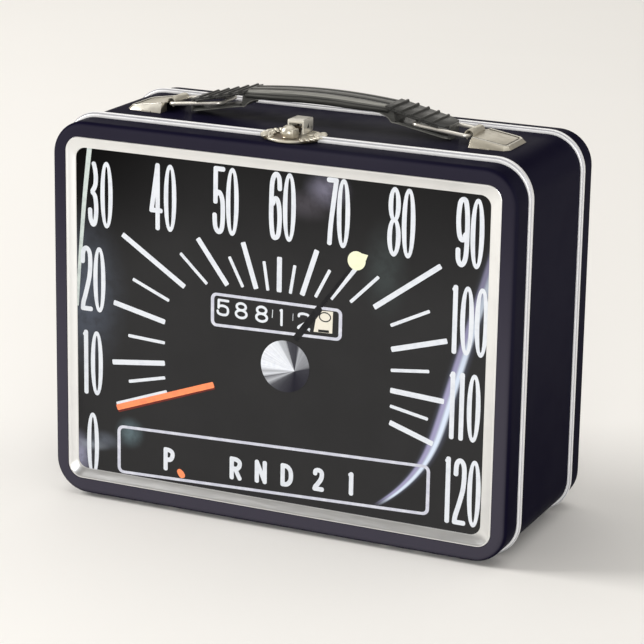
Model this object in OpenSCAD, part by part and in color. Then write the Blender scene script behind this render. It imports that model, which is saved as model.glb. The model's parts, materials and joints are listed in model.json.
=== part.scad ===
// Tin lunch box: a shallow hinged lid over a deep case, a ring latch on top
// and a folding carrying handle on two wire links.
// X runs along the width, Y from the lid to the back, Z up.
// The origin is on the ground, under the middle of the box.

/* [Case] */
// Width of the box
case_w = 200; // [190:1:210]
// Height of the box without its beads and hardware
case_h = 157; // [150:1:165]
// Depth of the closed box, front face to back face
case_d = 86; // [82:1:92]
// Radius of the four upright corners, seen from the front
corner_r = 14; // [12:1:16]
// Radius of the rounded front and back edges
edge_r = 2.5; // [2:0.25:3]
// Thickness of the tin sheet
sheet_t = 0.5; // [0.4:0.1:0.6]
// Radius of the half-round beads that ring the lid and the back
bead_r = 1.3; // [1.2:0.1:1.5]
// Depth of the lid, and of the back pressing, to the middle of its bead
lid_d = 13.9; // [13.5:0.1:15]

/* [Picture window] */
// Width of the window pressed in the lid and in the back
window_w = 187.6; // [180:0.2:188]
// Height of the window
window_h = 144.4; // [138:0.2:145]
// Corner radius of the window
window_r = 6.1; // [5:0.1:8]
// Width of the sloped silver frame inside the window
frame_w = 4.35; // [3:0.05:6]
// How far the picture plate lies behind the front face
recess_d = 2.3; // [1.5:0.1:3]

/* [Handle] */
// How far the handle lifts from rest
lift = 20; // [10:1:20]
// Half the length of the hand grip
grip_half = 31.5; // [30:0.5:32]
// Height of the top of the grip over the case, handle down
grip_top = 14; // [13.5:0.1:15]
// Width of the hand grip, front to back
grip_w = 15; // [13:0.5:16]
// Width of the ribbed ends
end_w = 17; // [16.5:0.5:18]
// Distance from the middle to a link's pivot
pivot_x = 65.3; // [65:0.1:66]
// Length of a wire link, pivot to inner bar
link_len = 23.3; // [22:0.1:23.5]
// Radius of the link wire
wire_r = 0.8; // [0.7:0.05:0.85]

/* [Latch] */
// Radius of the round latch plate
latch_r = 12.9; // [12:0.1:12.9]
// Width of the hasp
hasp_w = 7; // [6.6:0.1:8]

/* [Hidden] */
$fn = 64;

eps = 0.01;
gap = 0.4;                        // clearance between the lid and the case
base_z = bead_r;                  // underside of the sheet: the box stands on its beads
top_z = base_z + case_h;          // top of the sheet
mid_z = base_z + case_h / 2;
front_y = -case_d / 2;
back_y = case_d / 2;
seam_y = front_y + lid_d;         // middle of the lid's bead, and the hinge axis
lid_end_y = seam_y + bead_r;      // rear edge of the lid's wall
band_y = lid_end_y + gap;         // front edge of the case's wall
back_seam_y = back_y - lid_d;     // middle of the back bead

window_z = mid_z + 0.3;           // the window sits slightly high
plate_z = mid_z - 0.1;            // the picture plate sits slightly low in it
plate_w = window_w - 2 * frame_w;
plate_h = window_h - 2 * frame_w;
plate_r = 4.3;
plate_lap = 1.6;                  // how far the plate reaches behind its frame
flange_w = 2.4;                   // flange of the frame behind the sheet

neck_gap = 1.8;                   // neck to the outside of the sheet
neck_front_y = band_y - 7.5;
neck_rear_y = band_y + 13.5;
neck_lip = 1.5;

hinge_x = 55;                     // middle of each hinge
knuckle_w = 7;
knuckle_r = 1.25;
knuckle_gap = 0.35;
hinge_w = 3 * knuckle_w + 2 * knuckle_gap;
pin_r = 0.6;
bore_r = pin_r + 0.05;
leaf_t = 0.5;
leaf_z = base_z + sheet_t;        // the leaves lie on the inside of the sheet
leaf_case_len = 13;
leaf_lid_len = 11;
hinge_rivet_r = 1;
hinge_rivet_dx = 7.5;
case_rivet_y = seam_y + 10;
lid_rivet_y = seam_y - 9;

bracket_x0 = 66;                  // inner end of a handle bracket
bracket_x1 = 83.7;                // outer end
bracket_half = 12;                // half its width at the inner end
bracket_tip_half = 7.8;           // half its width at the outer end
bracket_h = 3.6;                  // its height at the inner end
bracket_slope = 0.16;             // how fast its top falls towards the corner
bracket_t = 0.6;
curl_z = 3.8;                     // middle of the rolled tongue over the case
curl_r = 2.05;
curl_bore_r = 1.5;
curl_w = 12;
tab_x = 74;
tab_w = 4;

pivot_z = 3.4;                    // middle of the link's outer bar over the case
link_tilt = 6.3;                  // slope of a link at rest, degrees
link_half = 7.45;                 // middle of a link's side bar
link_bend = 1.7;                  // bend radius of its corners

arch_sag = 1.8;                   // how far the grip falls from its middle to its ends
arch_r = (grip_half * grip_half + arch_sag * arch_sag) / (2 * arch_sag);
arch_deg = asin(grip_half / arch_r);
grip_t = 4.6;
end_x0 = 30.5;                    // where a ribbed end starts
end_x1 = 57;                      // where it stops
rib_x0 = 33.2;
rib_pitch = 4.42;
rib_n = 5;
rib_h = 0.5;
rib_w = 1;
end_top = 11;                     // top of the ribbed plate over the case at rib_x0
end_slope = 0.207;                // how fast the plate falls outwards
plate_t = 0.8;
tongue_half = 5;
tongue_t = 1;
tongue_slope = 0.186;

latch_y = front_y + 13;           // middle of the round latch plate
latch_split_y = lid_end_y + gap / 2;
latch_base_z = top_z + 0.05;
latch_t = 0.7;
latch_top_z = latch_base_z + latch_t;
latch_rim_r = 0.8;
latch_rivet_r = 1;
lid_rivet_x = 8;
lid_latch_rivet_y = latch_y - 5;
case_rivet_x = 5.8;
case_latch_rivet_y = latch_y + 6.5;
knob_y = front_y + 11.4;
knob_z = top_z + 2.4;
knob_r = 3.3;
hasp_y0 = front_y + 17.5;
hasp_z0 = latch_top_z + 0.3;
hasp_z1 = top_z + 6.6;
hasp_t = 0.7;
hasp_axis_y = front_y + 25;
hasp_axis_z = latch_top_z + 1.9;
hasp_knuckle_r = 1.5;
hasp_lip = 2;
ear_t = 0.7;
ear_r = 1.25;
hook_top_z = hasp_z1 - hasp_lip - 0.4;

// ---------- shared shapes ----------

// Rectangle with round corners
module rounded_rect(w, h, r) {
    square([w - 2 * r, h], center = true);
    square([w, h - 2 * r], center = true);
    for (sx = [-1, 1], sz = [-1, 1])
        translate([sx * (w / 2 - r), sz * (h / 2 - r)]) circle(r);
}

// Upright plate from y0 to y1 around height zc
module plate(w, h, r, y0, y1, zc = mid_z) {
    translate([0, y1, zc]) rotate([90, 0, 0]) linear_extrude(y1 - y0) rounded_rect(w, h, r);
}

// Sweeps its 2-D child around the box: x is the distance out from the
// corner's middle, y is the depth
module around_box(r = corner_r) {
    ax = case_w / 2 - r;
    az = case_h / 2 - r;
    translate([0, 0, mid_z]) {
        for (sx = [0, 1]) mirror([sx, 0, 0]) {
            translate([ax, 0, 0]) linear_extrude(2 * az, center = true) children();
            for (sz = [0, 1]) mirror([0, 0, sz])
                translate([ax, 0, az]) rotate([90, 0, 0])
                    rotate_extrude(angle = 90) mirror([0, 1, 0]) children();
        }
        for (sz = [0, 1]) mirror([0, 0, sz])
            translate([0, 0, az]) rotate([0, -90, 0]) linear_extrude(2 * ax, center = true) children();
    }
}

// Section of a tray's wall: y0 is its closed face, dir points to its open side
module tray_section(y0, dir, depth) {
    translate([0, y0]) mirror([0, dir > 0 ? 0 : 1]) {
        translate([corner_r - sheet_t, edge_r]) square([sheet_t, depth - edge_r]);
        intersection() {
            translate([corner_r - edge_r, edge_r]) difference() {
                circle(edge_r);
                circle(edge_r - sheet_t);
            }
            translate([corner_r - edge_r, 0]) square(edge_r);
        }
    }
}

// A pressed tray with a window in its face
module tray(y0, dir, depth) {
    around_box() tray_section(y0, dir, depth);
    difference() {
        plate(case_w - 2 * edge_r, case_h - 2 * edge_r, corner_r - edge_r,
              min(y0, y0 + dir * sheet_t), max(y0, y0 + dir * sheet_t));
        plate(window_w, window_h, window_r, y0 - 1, y0 + 1, window_z);
    }
}

// Sloped frame that lines a window; dir points into the box
module bezel(y0, dir) {
    y_in = y0 + dir * recess_d;
    y_flange = y0 + dir * sheet_t;
    module face(w, h, r, y, zc) translate([0, y, zc]) rotate([90, 0, 0])
        linear_extrude(eps, center = true) rounded_rect(w, h, r, $fn = 48);
    // the slope itself
    difference() {
        hull() {
            face(window_w, window_h, window_r, y0 + dir * 0.05, window_z);
            face(plate_w + 1.2, plate_h + 1.2, plate_r + 0.6, y_in - dir * eps, plate_z);
        }
        hull() {
            face(window_w - 0.4, window_h - 0.4, window_r - 0.2, y0 - dir * 0.2, window_z);
            face(plate_w, plate_h, plate_r, y_in + dir * 0.3, plate_z);
        }
    }
    // flange that backs the tray's face
    difference() {
        plate(window_w + 2 * flange_w, window_h + 2 * flange_w, window_r + flange_w,
              min(y_flange, y_flange + dir * 0.4), max(y_flange, y_flange + dir * 0.4), window_z);
        plate(window_w - 1.6, window_h - 1.6, window_r - 0.8, y_flange - 1, y_flange + 1, window_z);
    }
}

// Plate that carries the picture, behind its frame
module picture_plate(y0, dir) {
    ya = y0 + dir * recess_d;
    yb = ya + dir * sheet_t;
    plate(plate_w + 2 * plate_lap, plate_h + 2 * plate_lap, plate_r + plate_lap,
          min(ya, yb), max(ya, yb), plate_z);
}

// Half-round bead around the outside of the sheet
module bead(y) {
    around_box() intersection() {
        translate([corner_r, y]) circle(bead_r);
        translate([corner_r, y - bead_r]) square([bead_r, 2 * bead_r]);
    }
}

// Space that a hinge needs through the lid's rear edge
module hinge_cutouts() {
    for (sx = [-1, 1])
        translate([sx * hinge_x - hinge_w / 2 - knuckle_gap, seam_y - 1.9, -1])
            cube([hinge_w + 2 * knuckle_gap, 4, base_z + sheet_t + 1.2]);
}

module rivet_holes(xs, y, z0, z1, r) {
    for (x = xs) translate([x, y, z0]) cylinder(r = r, h = z1 - z0);
}

// Rivets through a stack of sheets from z0 to z1, with a head at each end
module rivets(xs, y, z0, z1, r, head_out, head_in) {
    for (x = xs) translate([x, y, 0]) {
        translate([0, 0, z0]) cylinder(r = r, h = z1 - z0);
        translate([0, 0, z0 - head_out]) cylinder(r = 1.7 * r, h = head_out);
        translate([0, 0, z1]) cylinder(r = 1.7 * r, h = head_in);
    }
}

function hinge_rivet_xs() = [for (sx = [-1, 1], dx = [-1, 1]) sx * hinge_x + dx * hinge_rivet_dx];

// ---------- lid ----------

module lid_shell() color("midnightblue") difference() {
    tray(front_y, 1, lid_end_y - front_y);
    hinge_cutouts();
    rivet_holes(hinge_rivet_xs(), lid_rivet_y, 0, leaf_z + 1, hinge_rivet_r);
    rivet_holes([-lid_rivet_x, lid_rivet_x], lid_latch_rivet_y, top_z - 2, top_z + 1, latch_rivet_r);
}

module lid_bezel() color("gainsboro") bezel(front_y, 1);

module lid_picture_plate() color("dimgray") picture_plate(front_y, 1);

module lid_rim_bead() color("silver") difference() {
    bead(seam_y);
    hinge_cutouts();
    // the bead stops each side of the latch
    translate([-latch_r - 0.3, seam_y - 2, top_z - 1]) cube([2 * latch_r + 0.6, 4, 4]);
}

// ---------- case ----------

// Slots in the top of the case for the tabs of both brackets
module tab_slots() {
    for (sx = [-1, 1], sy = [-1, 1])
        translate([sx * tab_x - tab_w / 2 - 0.2, sy * (bracket_half - bracket_t / 2) - bracket_t / 2 - 0.1, top_z - 2])
            cube([tab_w + 0.4, bracket_t + 0.2, 3]);
}

module case_band() color("midnightblue") difference() {
    around_box() translate([corner_r - sheet_t, band_y]) square([sheet_t, back_seam_y - band_y]);
    tab_slots();
    rivet_holes(hinge_rivet_xs(), case_rivet_y, 0, leaf_z + 1, hinge_rivet_r);
    rivet_holes([-case_rivet_x, case_rivet_x], case_latch_rivet_y, top_z - 2, top_z + 1, latch_rivet_r);
}

// Collar fixed inside the case that the lid closes over
module case_neck() color("silver") around_box() {
    translate([corner_r - neck_gap - sheet_t, neck_front_y])
        square([sheet_t, neck_rear_y - neck_front_y]);
    translate([corner_r - neck_gap, neck_rear_y - neck_lip])
        square([neck_gap - sheet_t, neck_lip]);
}

module back_shell() color("midnightblue") tray(back_y, -1, lid_d);
module back_bezel() color("gainsboro") bezel(back_y, -1);
module back_plate() color("dimgray") picture_plate(back_y, -1);
module back_rim_bead() color("silver") bead(back_seam_y);

// ---------- hinges ----------

// Knuckle k of 3 of the hinge at x
module knuckle(x, k) {
    translate([x - hinge_w / 2 + k * (knuckle_w + knuckle_gap), seam_y, base_z])
        rotate([0, 90, 0]) cylinder(r = knuckle_r, h = knuckle_w);
}

module pin_bores() {
    for (sx = [-1, 1]) translate([sx * hinge_x - hinge_w, seam_y, base_z])
        rotate([0, 90, 0]) cylinder(r = bore_r, h = 2 * hinge_w);
}

// The case's leaf carries the middle knuckle
module hinge_leaves_case() color("silver") difference() {
    for (sx = [-1, 1]) {
        knuckle(sx * hinge_x, 1);
        translate([sx * hinge_x - knuckle_w / 2, seam_y, leaf_z]) cube([knuckle_w, 4, leaf_t]);
        translate([sx * hinge_x - hinge_w / 2, seam_y + 2, leaf_z])
            cube([hinge_w, leaf_case_len - 2, leaf_t]);
    }
    pin_bores();
    rivet_holes(hinge_rivet_xs(), case_rivet_y, 0, leaf_z + 2, hinge_rivet_r);
}

// The lid's leaf carries the outer two
module hinge_leaves_lid() color("silver") difference() {
    for (sx = [-1, 1]) {
        for (k = [0, 2]) {
            knuckle(sx * hinge_x, k);
            translate([sx * hinge_x - hinge_w / 2 + k * (knuckle_w + knuckle_gap), seam_y - 4, leaf_z])
                cube([knuckle_w, 4, leaf_t]);
        }
        translate([sx * hinge_x - hinge_w / 2, seam_y - leaf_lid_len, leaf_z])
            cube([hinge_w, leaf_lid_len - 2, leaf_t]);
    }
    pin_bores();
    rivet_holes(hinge_rivet_xs(), lid_rivet_y, 0, leaf_z + 2, hinge_rivet_r);
}

module hinge_pins() color("gray") {
    for (sx = [-1, 1]) translate([sx * hinge_x - hinge_w / 2, seam_y, base_z])
        rotate([0, 90, 0]) cylinder(r = pin_r, h = hinge_w);
}

module hinge_rivets_case() color("silver")
    rivets(hinge_rivet_xs(), case_rivet_y, base_z, leaf_z + leaf_t, hinge_rivet_r, 0.6, 0.5);

module hinge_rivets_lid() color("silver")
    rivets(hinge_rivet_xs(), lid_rivet_y, base_z, leaf_z + leaf_t, hinge_rivet_r, 0.6, 0.5);

// ---------- handle brackets and links ----------

// Hipped block under the bracket's sheet; t shrinks it on every side
module bracket_block(t, x_in) {
    function top_at(x) = bracket_h - bracket_slope * (x - bracket_x0 - 1.5) - t;
    plan = [
        [x_in, bracket_half - t], [79 - t / 2, bracket_half - t],
        [bracket_x1 - t, bracket_tip_half - t / 2],
        [bracket_x1 - t, -bracket_tip_half + t / 2],
        [79 - t / 2, -bracket_half + t], [x_in, -bracket_half + t]
    ];
    crown = [
        [x_in + 1.5, 9.3 - t], [79.5 - t, 9.5 - t], [82.6 - t, 6.8 - t / 2],
        [82.6 - t, -6.8 + t / 2], [79.5 - t, -9.5 + t], [x_in + 1.5, -9.3 + t]
    ];
    n = len(plan);
    polyhedron(
        points = concat([for (p = plan) [p[0], p[1], t > 0 ? -1 : 0]],
                        [for (p = crown) [p[0], p[1], top_at(p[0])]]),
        faces = concat([[for (i = [n - 1:-1:0]) i]], [[for (i = [0:n - 1]) n + i]],
                       [for (i = [0:n - 1]) [i, (i + 1) % n, n + i]],
                       [for (i = [0:n - 1]) [(i + 1) % n, n + (i + 1) % n, n + i]])
    );
}

// Pressed bracket for the right side, standing on z = 0
module bracket() color("tan") {
    difference() {
        bracket_block(0, bracket_x0);
        bracket_block(bracket_t, bracket_x0 - 2);
    }
    // rolled tongue that holds the link, open below
    difference() {
        translate([pivot_x, curl_w / 2, curl_z]) rotate([90, 0, 0]) cylinder(r = curl_r, h = curl_w);
        translate([pivot_x, curl_w / 2 + 1, curl_z]) rotate([90, 0, 0]) cylinder(r = curl_bore_r, h = curl_w + 2);
        translate([pivot_x + 0.3, -curl_w, 0]) cube([curl_r + 1, 2 * curl_w, 2.9]);
    }
    // strap that joins the tongue to the top of the bracket
    translate([bracket_x0 + 0.9, -curl_w / 2, bracket_h - bracket_t]) cube([2, curl_w, bracket_t - 0.02]);
    // tabs bent over inside the case
    for (sy = [-1, 1]) {
        translate([tab_x - tab_w / 2, sy * (bracket_half - bracket_t / 2) - bracket_t / 2, -1.3])
            cube([tab_w, bracket_t, 1.8]);
        translate([tab_x - tab_w / 2, sy > 0 ? bracket_half - 4 : -bracket_half, -1.3])
            cube([tab_w, 4, bracket_t]);
    }
}

module bracket_right() translate([0, 0, top_z]) bracket();
module bracket_left() translate([0, 0, top_z]) mirror([1, 0, 0]) bracket();

// Closed wire loop for the right side, pivot at the origin, reaching to -X
module link() color("lightgray") {
    bar = link_len - 2 * link_bend;
    for (sy = [-1, 1]) translate([-link_bend, sy * link_half, 0]) rotate([0, -90, 0])
        cylinder(r = wire_r, h = bar);
    for (x = [0, -link_len]) translate([x, link_half - link_bend, 0]) rotate([90, 0, 0])
        cylinder(r = wire_r, h = 2 * (link_half - link_bend));
    for (mx = [0, 1], my = [0, 1])
        translate([-link_len / 2, 0, 0]) mirror([mx, 0, 0]) mirror([0, my, 0])
            translate([link_len / 2 - link_bend, link_half - link_bend, 0])
                rotate_extrude(angle = 90) translate([link_bend, 0]) circle(wire_r);
}

module placed_link() translate([pivot_x, 0, top_z + pivot_z]) rotate([0, link_tilt, 0]) link();
module link_right() placed_link();
module link_left() mirror([1, 0, 0]) placed_link();

// ---------- handle ----------

// Section of the grip: x up from its underside, y across
module grip_section() {
    r = 1.6;
    difference() {
        union() {
            translate([0, -grip_w / 2 + r]) square([grip_t, grip_w - 2 * r]);
            translate([r, -grip_w / 2]) square([grip_t - 2 * r, grip_w]);
            for (u = [r, grip_t - r], s = [-1, 1]) translate([u, s * (grip_w / 2 - r)]) circle(r);
        }
        // two grooves along the top
        for (s = [-1, 1]) translate([grip_t + 0.9, s * 3.2]) circle(1.5);
    }
}

function end_z(x) = end_top - end_slope * (x - rib_x0);
function tongue_z(x) = 0.6 + tongue_slope * (end_x1 - x);

// One ribbed end, for the right side
module handle_end() {
    // ribbed plate, with its outer corners cut back over the link
    difference() {
        rotate([90, 0, 0]) linear_extrude(end_w, center = true) polygon([
            [end_x0, end_z(end_x0)], [end_x1, end_z(end_x1)],
            [end_x1, end_z(end_x1) - plate_t], [end_x0, end_z(end_x0) - plate_t]
        ]);
        for (s = [-1, 1]) translate([end_x1 - 1, s > 0 ? 5.6 : -end_w, 0]) cube([3, end_w - 5.6, 12]);
    }
    for (i = [0:rib_n - 1]) {
        x = rib_x0 + i * rib_pitch;
        translate([x - rib_w / 2, -end_w / 2 - 0.25, end_z(x) - 0.3]) cube([rib_w, end_w + 0.5, rib_h + 0.3]);
    }
    // foot, tongue under the link and the wall that closes the end
    rotate([90, 0, 0]) linear_extrude(2 * tongue_half, center = true) {
        polygon([
            [26.5, 9.4], [28.6, 8], [30.2, 6.3], [31.4, tongue_z(31.4)], [34, tongue_z(34)],
            [34, end_z(34) - 0.1], [26.5, 12]
        ]);
        polygon([
            [33.9, tongue_z(33.9)], [end_x1, tongue_z(end_x1)],
            [end_x1, tongue_z(end_x1) + tongue_t], [33.9, tongue_z(33.9) + tongue_t]
        ]);
        polygon([
            [end_x1 - 1, tongue_z(end_x1) + 0.3], [end_x1, tongue_z(end_x1)],
            [end_x1, end_z(end_x1) - 0.1], [end_x1 - 1, end_z(end_x1 - 1) - 0.1]
        ]);
    }
}

module handle_grip() color("darkslategray") translate([0, 0, top_z]) {
    translate([0, 0, grip_top - arch_r]) rotate([90, 0, 0])
        rotate([0, 0, 90 - arch_deg]) rotate_extrude(angle = 2 * arch_deg)
            translate([arch_r - grip_t, 0]) grip_section();
    for (m = [0, 1]) mirror([m, 0, 0]) handle_end();
}

// ---------- latch ----------

// Round plate with a raised rim
module latch_disc() {
    translate([0, latch_y, latch_base_z]) {
        cylinder(r = latch_r, h = latch_t);
        translate([0, 0, latch_t]) rotate_extrude() translate([latch_r - latch_rim_r, 0]) circle(latch_rim_r * 0.9);
    }
}

module latch_plate_lid() color("tan") difference() {
    intersection() {
        latch_disc();
        translate([-20, front_y, latch_base_z]) cube([40, latch_split_y - gap / 2 - front_y, 10]);
    }
    rivet_holes([-lid_rivet_x, lid_rivet_x], lid_latch_rivet_y, top_z - 1, top_z + 5, latch_rivet_r);
}

module hasp_bores() {
    translate([-hasp_w, hasp_axis_y, hasp_axis_z]) rotate([0, 90, 0]) cylinder(r = bore_r, h = 2 * hasp_w);
}

module latch_plate_case() color("tan") difference() {
    union() {
        intersection() {
            latch_disc();
            translate([-20, latch_split_y + gap / 2, latch_base_z]) cube([40, 30, 10]);
        }
        // two ears for the hasp's pin
        for (s = [-1, 1])
            translate([s * (hasp_w / 2 - hasp_t - 0.3 - ear_t / 2), hasp_axis_y, 0]) rotate([90, 0, 90])
                linear_extrude(ear_t, center = true) {
                    translate([0, hasp_axis_z]) circle(ear_r);
                    translate([-ear_r, latch_base_z]) square([2 * ear_r, hasp_axis_z - latch_base_z]);
                }
    }
    // the rim is cut away behind the hasp
    translate([-hasp_w / 2 - 0.4, hasp_axis_y - 3, latch_top_z]) difference() {
        cube([hasp_w + 0.8, 8, 3]);
        translate([hasp_w / 2 + 0.4 - 2.6, 0, -1]) cube([5.2, 8, 5]);
    }
    rivet_holes([-case_rivet_x, case_rivet_x], case_latch_rivet_y, top_z - 1, top_z + 5, latch_rivet_r);
    hasp_bores();
}

module latch_rivets_lid() color("tan")
    rivets([-lid_rivet_x, lid_rivet_x], lid_latch_rivet_y, top_z - sheet_t, latch_top_z, latch_rivet_r, 0.5, 0.5);

module latch_rivets_case() color("tan")
    rivets([-case_rivet_x, case_rivet_x], case_latch_rivet_y, top_z - sheet_t, latch_top_z, latch_rivet_r, 0.5, 0.5);

// Round catch on the lid, with a hooked tail that reaches under the hasp
module latch_catch() color("tan") {
    tail_z = latch_top_z + 0.3;
    intersection() {
        translate([0, knob_y, knob_z]) sphere(knob_r);
        translate([-5, knob_y - 5, latch_top_z]) cube([10, 10, 10]);
    }
    translate([-1.6, knob_y, tail_z]) cube([3.2, hasp_y0 + 1.9 - knob_y, 0.8]);
    translate([-1.6, hasp_y0 + 1.1, tail_z]) cube([3.2, 0.8, hook_top_z - tail_z]);
}

// Box-shaped hasp: two cheeks, a top and a lip folded down in front
module latch_hasp() color("tan") difference() {
    union() {
        for (s = [-1, 1])
            translate([s * (hasp_w - hasp_t) / 2, 0, 0]) rotate([90, 0, 90]) linear_extrude(hasp_t, center = true) {
                translate([hasp_y0, hasp_z0]) square([hasp_axis_y - hasp_y0, hasp_z1 - hasp_z0]);
                translate([hasp_axis_y, hasp_axis_z]) circle(hasp_knuckle_r);
                translate([hasp_axis_y - 1, hasp_axis_z]) square([1 + hasp_knuckle_r, hasp_z1 - hasp_axis_z]);
            }
        translate([-hasp_w / 2, hasp_y0, hasp_z1 - hasp_t])
            cube([hasp_w, hasp_axis_y + hasp_knuckle_r - hasp_y0, hasp_t]);
        translate([-hasp_w / 2, hasp_y0, hasp_z1 - hasp_lip]) cube([hasp_w, hasp_t, hasp_lip]);
    }
    hasp_bores();
    // small hole through the cheeks
    translate([-hasp_w, hasp_y0 + 3.9, hasp_z0 + 3]) rotate([0, 90, 0]) cylinder(r = 0.6, h = 2 * hasp_w);
}

module latch_pin() color("gray")
    translate([-hasp_w / 2, hasp_axis_y, hasp_axis_z]) rotate([0, 90, 0]) cylinder(r = pin_r, h = hasp_w);

lid_shell();
lid_bezel();
lid_picture_plate();
lid_rim_bead();
case_band();
case_neck();
back_shell();
back_bezel();
back_plate();
back_rim_bead();
hinge_leaves_case();
hinge_leaves_lid();
hinge_pins();
hinge_rivets_case();
hinge_rivets_lid();
bracket_left();
bracket_right();
link_left();
link_right();
handle_grip();
latch_plate_lid();
latch_plate_case();
latch_rivets_lid();
latch_rivets_case();
latch_catch();
latch_hasp();
latch_pin();
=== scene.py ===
"""Looks of a tin lunch box with a dial picture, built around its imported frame.

Sizes in this script are millimetres, but the stage, the lamps and the camera's place are in metres.
Every mesh of the box is scaled to metres as it is made.
"""
import json
import math
import random

import bmesh
import bpy
from mathutils import Matrix, Vector


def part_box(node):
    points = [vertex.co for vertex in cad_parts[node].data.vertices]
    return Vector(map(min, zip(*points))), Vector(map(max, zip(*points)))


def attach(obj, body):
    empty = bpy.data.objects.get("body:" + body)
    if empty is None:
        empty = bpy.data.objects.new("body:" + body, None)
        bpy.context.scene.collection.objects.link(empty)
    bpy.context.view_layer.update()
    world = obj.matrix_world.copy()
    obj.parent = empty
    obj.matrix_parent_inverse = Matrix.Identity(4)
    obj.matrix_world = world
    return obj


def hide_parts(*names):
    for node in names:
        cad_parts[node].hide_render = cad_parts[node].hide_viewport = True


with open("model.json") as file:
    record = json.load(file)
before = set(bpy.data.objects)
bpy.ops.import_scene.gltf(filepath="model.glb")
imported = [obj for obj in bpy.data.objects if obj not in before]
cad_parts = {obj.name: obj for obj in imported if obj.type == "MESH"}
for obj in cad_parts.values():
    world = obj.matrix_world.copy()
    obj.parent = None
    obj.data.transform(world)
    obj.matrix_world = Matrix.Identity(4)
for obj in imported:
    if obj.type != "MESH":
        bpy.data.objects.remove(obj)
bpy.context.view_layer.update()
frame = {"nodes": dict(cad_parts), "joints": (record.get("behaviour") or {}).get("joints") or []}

MM = 0.001
RNG = random.Random(7)


def box_mm(node):
    """Low and high corner of a CAD node."""
    low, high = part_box(node)
    return low / MM, high / MM


def joint_mm(name):
    """Place of a joint."""
    joint = next(j for j in frame["joints"] if j["name"] == name)
    return Vector(joint["pos_m"]) / MM


# ---------- places, from the frame ----------

CASE_LOW, CASE_HIGH = box_mm("case_band")
LID_LOW, LID_HIGH = box_mm("lid_shell")
BACK_HIGH = box_mm("back_shell")[1]
BEAD_LOW, BEAD_HIGH = box_mm("lid_rim_bead")
NECK_LOW, NECK_HIGH = box_mm("case_neck")
PLATE_LOW, PLATE_HIGH = box_mm("lid_picture_plate")
BEZEL_LOW, BEZEL_HIGH = box_mm("lid_bezel")
DISC_LOW, DISC_HIGH = box_mm("latch_plate_lid")
DISC_CASE_LOW = box_mm("latch_plate_case")[0]
GRIP_HIGH = box_mm("handle_grip")[1]
LINK_LOW, LINK_HIGH = box_mm("link_right")
BRACKET_LOW, BRACKET_HIGH = box_mm("bracket_right")
HASP_LOW, HASP_HIGH = box_mm("latch_hasp")
CATCH_LOW, CATCH_HIGH = box_mm("latch_catch")
LINK_PIVOT = joint_mm("right_link_hinge")
HASP_PIVOT = joint_mm("hasp_hinge")

CASE_W = CASE_HIGH.x - CASE_LOW.x
CASE_H = CASE_HIGH.z - CASE_LOW.z
MID_Z = (CASE_LOW.z + CASE_HIGH.z) / 2
TOP_Z = CASE_HIGH.z
BASE_Z = CASE_LOW.z
SEAM_Y = (BEAD_LOW.y + BEAD_HIGH.y) / 2
BEAD_R = BEAD_HIGH.x - CASE_HIGH.x
CORNER_R = 14
EDGE_R = 2.5
SHEET_T = 0.5

WINDOW_W, WINDOW_H, WINDOW_R = 187.6, 144.4, 6.1
WINDOW_Z = (BEZEL_LOW.z + BEZEL_HIGH.z) / 2
PLATE_Z = (PLATE_LOW.z + PLATE_HIGH.z) / 2
PLATE_LAP = 1.6
VIEW_W = PLATE_HIGH.x - PLATE_LOW.x - 2 * PLATE_LAP
VIEW_H = PLATE_HIGH.z - PLATE_LOW.z - 2 * PLATE_LAP
VIEW_R = 4.3
VIEW_X = -0.7                     # the picture sits a little left in its window


# ---------- shapes ----------

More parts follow.
